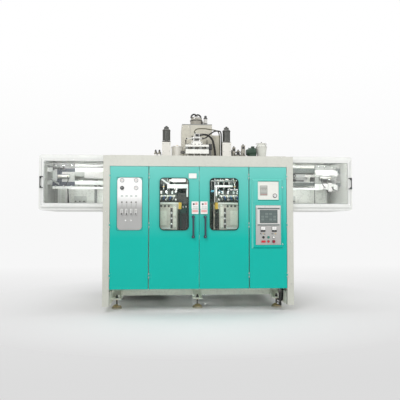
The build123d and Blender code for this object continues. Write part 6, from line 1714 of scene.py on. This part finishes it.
class MACHINE_OT_takeout_fittings(bpy.types.Operator):
    """Adds bolts, a cylinder with its line, gripper pads and small blocks to the take-out carriages."""

    bl_idname = "machine.takeout_fittings"
    bl_label = "Take-out fittings"

    def execute(self, context):
        for side, sign in SIDES:
            parts = Piece(f"{side} take-out fittings", sign)
            for x, z in product((2.01, 2.135, 2.26), (1.92, 2.25)):
                parts.hex_bolt((x, -0.6695, z), FORWARD, 0.011, "chrome", 0.01)
            parts.box((2.03, -0.694, 2.04), (2.23, -0.67, 2.11), "mid grey parts", 0.004)
            parts.rod((2.04, -0.7, 2.075), (2.22, -0.7, 2.075), 0.02, "satin aluminium", 20)
            for x in (2.06, 2.2):
                parts.turned((x, -0.716, 2.075), FORWARD, [(0, 0.008), (0.012, 0.007)], "brass fitting", 12)
            parts.line([(2.06, -0.726, 2.075), (2.05, -0.742, 2.01), (2.08, -0.74, 1.94),
                        (2.12, -0.7, 1.915)], 0.006)
            for x in (1.19, 1.29, 1.39, 1.49):
                parts.turned((x, -0.63, 1.861), DOWN, cap(0.018, 0.01, 0.016, 0.012), "black rubber", 16)
            if sign > 0:
                for x0, x1, z0, z1, y in ((2.266, 2.35, 2.112, 2.196, -0.64),
                                          (1.965, 2.075, 2.128, 2.19, -0.69),
                                          (2.262, 2.345, 1.86, 1.962, -0.645),
                                          (2.07, 2.15, 1.886, 1.98, -0.69),
                                          (2.176, 2.24, 1.846, 1.99, -0.692),
                                          (2.2, 2.262, 2.118, 2.206, -0.69)):
                    parts.box((x0, y - 0.014, z0), (x1, y + 0.03, z1), "white parts", 0.01)
                parts.rod((2.18, -0.7, 2.04), (2.33, -0.655, 2.052), 0.01, "chrome", 12)
                parts.rod((2.176, -0.698, 2.014), (2.32, -0.65, 2.004), 0.007, "dark steel", 12)
                parts.tube([(2.23, -0.7, 1.925), (2.262, -0.716, 1.88), (2.31, -0.7, 1.862),
                            (2.33, -0.665, 1.872)], 0.008, "black rubber", steps=6, segments=8)
            else:
                parts.prism([(2.352, -0.7, 2.03), (2.33, -0.7, 2.044), (2.2, -0.7, 1.968),
                             (2.2, -0.7, 1.936)], BACK, 0.012, "mid grey parts")
                parts.rod((2.3, -0.69, 2.205), (2.12, -0.69, 2.205), 0.008, "dark steel", 12)
                for x in (2.29, 2.205, 2.13):
                    parts.box((x - 0.01, -0.7, 2.176), (x + 0.01, -0.672, 2.226), "dark steel", 0.002)
            parts.done(f"{side}_takeout")
        return {"FINISHED"}


class MACHINE_OT_drive(bpy.types.Operator):
    """Adds fins, a grille and glands to the drive motor, and bolts, flanges and a breather to the gearbox."""

    bl_idname = "machine.drive"
    bl_label = "Extruder drive"

    def execute(self, context):
        drive = Piece("motor fittings")
        x, z = 0.024, 2.548
        for step in range(36):
            turn = 2 * math.pi * (step + 0.5) / 36
            if 50 < math.degrees(turn) < 130:
                continue
            px, pz = around(x, z, 0.136, turn)
            outer = around(x, z, 0.15, turn)
            if pz < 2.356 or outer[1] < 2.356:
                continue
            side = Vector((-math.sin(turn), 0, math.cos(turn))) * 0.002
            near = Vector((px, 1.02, pz))
            far = Vector((outer[0], 1.02, outer[1]))
            drive.prism([near - side, near + side, far + side, far - side], BACK, 0.26, "motor green")
        for radius in (0.04, 0.066, 0.092, 0.116):
            drive.ring((x, 1.3565, z), BACK, radius, radius + 0.008, 0.003, "dark steel", 40)
        for px in (-0.02, 0.06):
            drive.turned((px, 1.22, 2.7), BACK, cap(0.014, 0.014, 0.02, 0.009), "black plastic", 14)
        drive.done("machine")
        box = Piece("gearbox fittings")
        for px, y in product((-0.145, -0.06, 0.108, 0.193), (0.716, 0.984)):
            box.hex_bolt((px, y, 2.7175), UP, 0.01, "dark steel", 0.009)
        for px in (-0.167, 0.215):
            out = -1 if px < 0 else 1
            box.ring((px, 0.85, 2.52), (out, 0, 0), 0.05, 0.078, 0.008, "casting paint", 36)
            for step in range(6):
                turn = math.radians(60 * step)
                box.hex_bolt((px + out * 0.006, *around(0.85, 2.52, 0.064, turn)), (out, 0, 0), 0.007,
                             "dark steel", 0.006)
        box.turned((0.09, 0.77, 2.718), UP, [(0, 0.012), (0.014, 0.012), (0.016, 0.018), (0.03, 0.018),
                                             (0.034, 0.012)], "brass fitting", 18)
        box.done("machine")
        return {"FINISHED"}


class MACHINE_OT_feet(bpy.types.Operator):
    """Adds lock nuts, threads and the brackets' bolts to the levelling feet."""

    bl_idname = "machine.feet"
    bl_label = "Levelling feet"

    def execute(self, context):
        feet = Piece("foot fittings")
        for x, y in product((-1.258, 0.0, 1.258), (-0.85, 0.85)):
            for level in range(8):
                z = 0.068 + 0.008 * level
                feet.turned((x, y, z), UP, [(0, 0.0118), (0.002, 0.0136), (0.004, 0.0118)], "dark steel", 16)
            feet.turned((x, y, 0.1335), UP, disc(0.0225, 0.015), "zinc yellow", 6, False)
            feet.turned((x, y, 0.182), UP, cap(0.0215, 0.004, 0.006, 0.018), "dark steel", 6, False)
            feet.ring((x, y, 0.02), UP, 0.067, 0.074, 0.006, "dark steel", 40)
        feet.done("machine")
        return {"FINISHED"}


class MACHINE_OT_base_fittings(bpy.types.Operator):
    """Adds the screws of the front portal and the bolts of the base frame."""

    bl_idname = "machine.base_fittings"
    bl_label = "Portal and base fittings"

    def execute(self, context):
        portal = Piece("portal fittings")
        for x, z in product((-1.3815, 1.3815), (0.42, 1.05, 1.5, 2.1)):
            portal.turned((x, FRONT, z), FORWARD, cap(0.0065, 0.002, 0.0036, 0.004), "chrome", 14)
        for x in (-1.25, -0.42, 0.42, 1.25):
            portal.turned((x, FRONT, 2.325), FORWARD, [(0, 0.005), (0.0028, 0.0035)], "chrome", 14)
        portal.done("machine")
        base = Piece("base fittings")
        for x, z in product((-1.18, -0.08, 0.08, 1.18), (0.13, 0.26)):
            base.hex_bolt((x, FRONT, z), FORWARD, 0.008, "chrome", 0.007)
        base.done("machine")
        return {"FINISHED"}


class MACHINE_OT_rear_panels(bpy.types.Operator):
    """Finishes the back and the sides plainly: screws, lift-off grips and louvre lips."""

    bl_idname = "machine.rear_panels"
    bl_label = "Rear and side sheets"

    def execute(self, context):
        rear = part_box("enclosure_panels")[1].y
        back = Piece("rear sheet fittings")
        for low, high in ((-1.415, -0.49), (-0.465, 0.465), (0.49, 1.415)):
            for x, z in product((low + 0.03, high - 0.03), (0.18, 0.72, 1.26, 1.8, 2.24)):
                back.sheet_screw((x, rear, z), BACK)
            for x in (low + 0.2, high - 0.2):
                back.grip((x, rear, 1.1), RIGHT, BACK)
        for sign, row in product((-1, 1), range(6)):
            z = 1.73 + 0.06 * row
            back.box((sign * 0.729, rear - 0.001, z), (sign * 1.178, rear + 0.01, z + 0.0025), "frame paint")
        back.done("machine")
        sides = Piece("side sheet fittings")
        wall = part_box("enclosure_panels")[1].x
        for _, sign in SIDES:
            for y, z in product((-1.13, -0.3, 0.5, 1.26), (0.18, 0.8, 1.44)):
                sides.sheet_screw((sign * wall, y, z), (sign, 0, 0))
            for y in (-0.05, 0.6, 1.26):
                sides.sheet_screw((sign * wall, y, 2.24), (sign, 0, 0))
            for y in (-0.6, 0.85):
                sides.grip((sign * wall, y, 1.0), BACK, (sign, 0, 0))
        sides.done("machine")
        return {"FINISHED"}


OPERATORS = (
    MACHINE_OT_stage, MACHINE_OT_finishes, MACHINE_OT_window_seals, MACHINE_OT_door_plates,
    MACHINE_OT_door_handles, MACHINE_OT_pressure_gauges, MACHINE_OT_flow_meters, MACHINE_OT_air_panel,
    MACHINE_OT_console, MACHINE_OT_panel_meters, MACHINE_OT_clamp_fittings, MACHINE_OT_moulds,
    MACHINE_OT_blow_fittings, MACHINE_OT_window_depth, MACHINE_OT_blow_cylinders, MACHINE_OT_die_head,
    MACHINE_OT_servo, MACHINE_OT_hoses, MACHINE_OT_cover, MACHINE_OT_loader, MACHINE_OT_deck_fittings,
    MACHINE_OT_wing_interiors, MACHINE_OT_wing_shells, MACHINE_OT_takeout_fittings, MACHINE_OT_drive,
    MACHINE_OT_feet, MACHINE_OT_base_fittings, MACHINE_OT_rear_panels,
)


class MACHINE_PT_panel(bpy.types.Panel):
    """Lists the machine's sizes, colours and pieces."""

    bl_idname = "MACHINE_PT_panel"
    bl_label = "Blow Moulding Machine"
    bl_space_type = "VIEW_3D"
    bl_region_type = "UI"
    bl_category = "Machine"

    def draw(self, context):
        layout = self.layout
        for group in (context.scene.machine_sizes, context.scene.machine_colours):
            column = layout.column()
            for key in group.__annotations__:
                column.prop(group, key)
        for operator in OPERATORS:
            layout.operator(operator.bl_idname)


CLASSES = (MachineColours, MachineSizes, *OPERATORS, MACHINE_PT_panel)


def register():
    for cls in CLASSES:
        bpy.utils.register_class(cls)
    bpy.types.Scene.machine_colours = PointerProperty(type=MachineColours)
    bpy.types.Scene.machine_sizes = PointerProperty(type=MachineSizes)


def unregister():
    del bpy.types.Scene.machine_sizes
    del bpy.types.Scene.machine_colours
    for cls in reversed(CLASSES):
        bpy.utils.unregister_class(cls)


def main():
    register()
    for operator in OPERATORS:
        group, name = operator.bl_idname.split(".")
        if getattr(getattr(bpy.ops, group), name)() != {"FINISHED"}:
            raise RuntimeError(f"{operator.bl_label} did not finish")


if __name__ == "__main__":
    main()
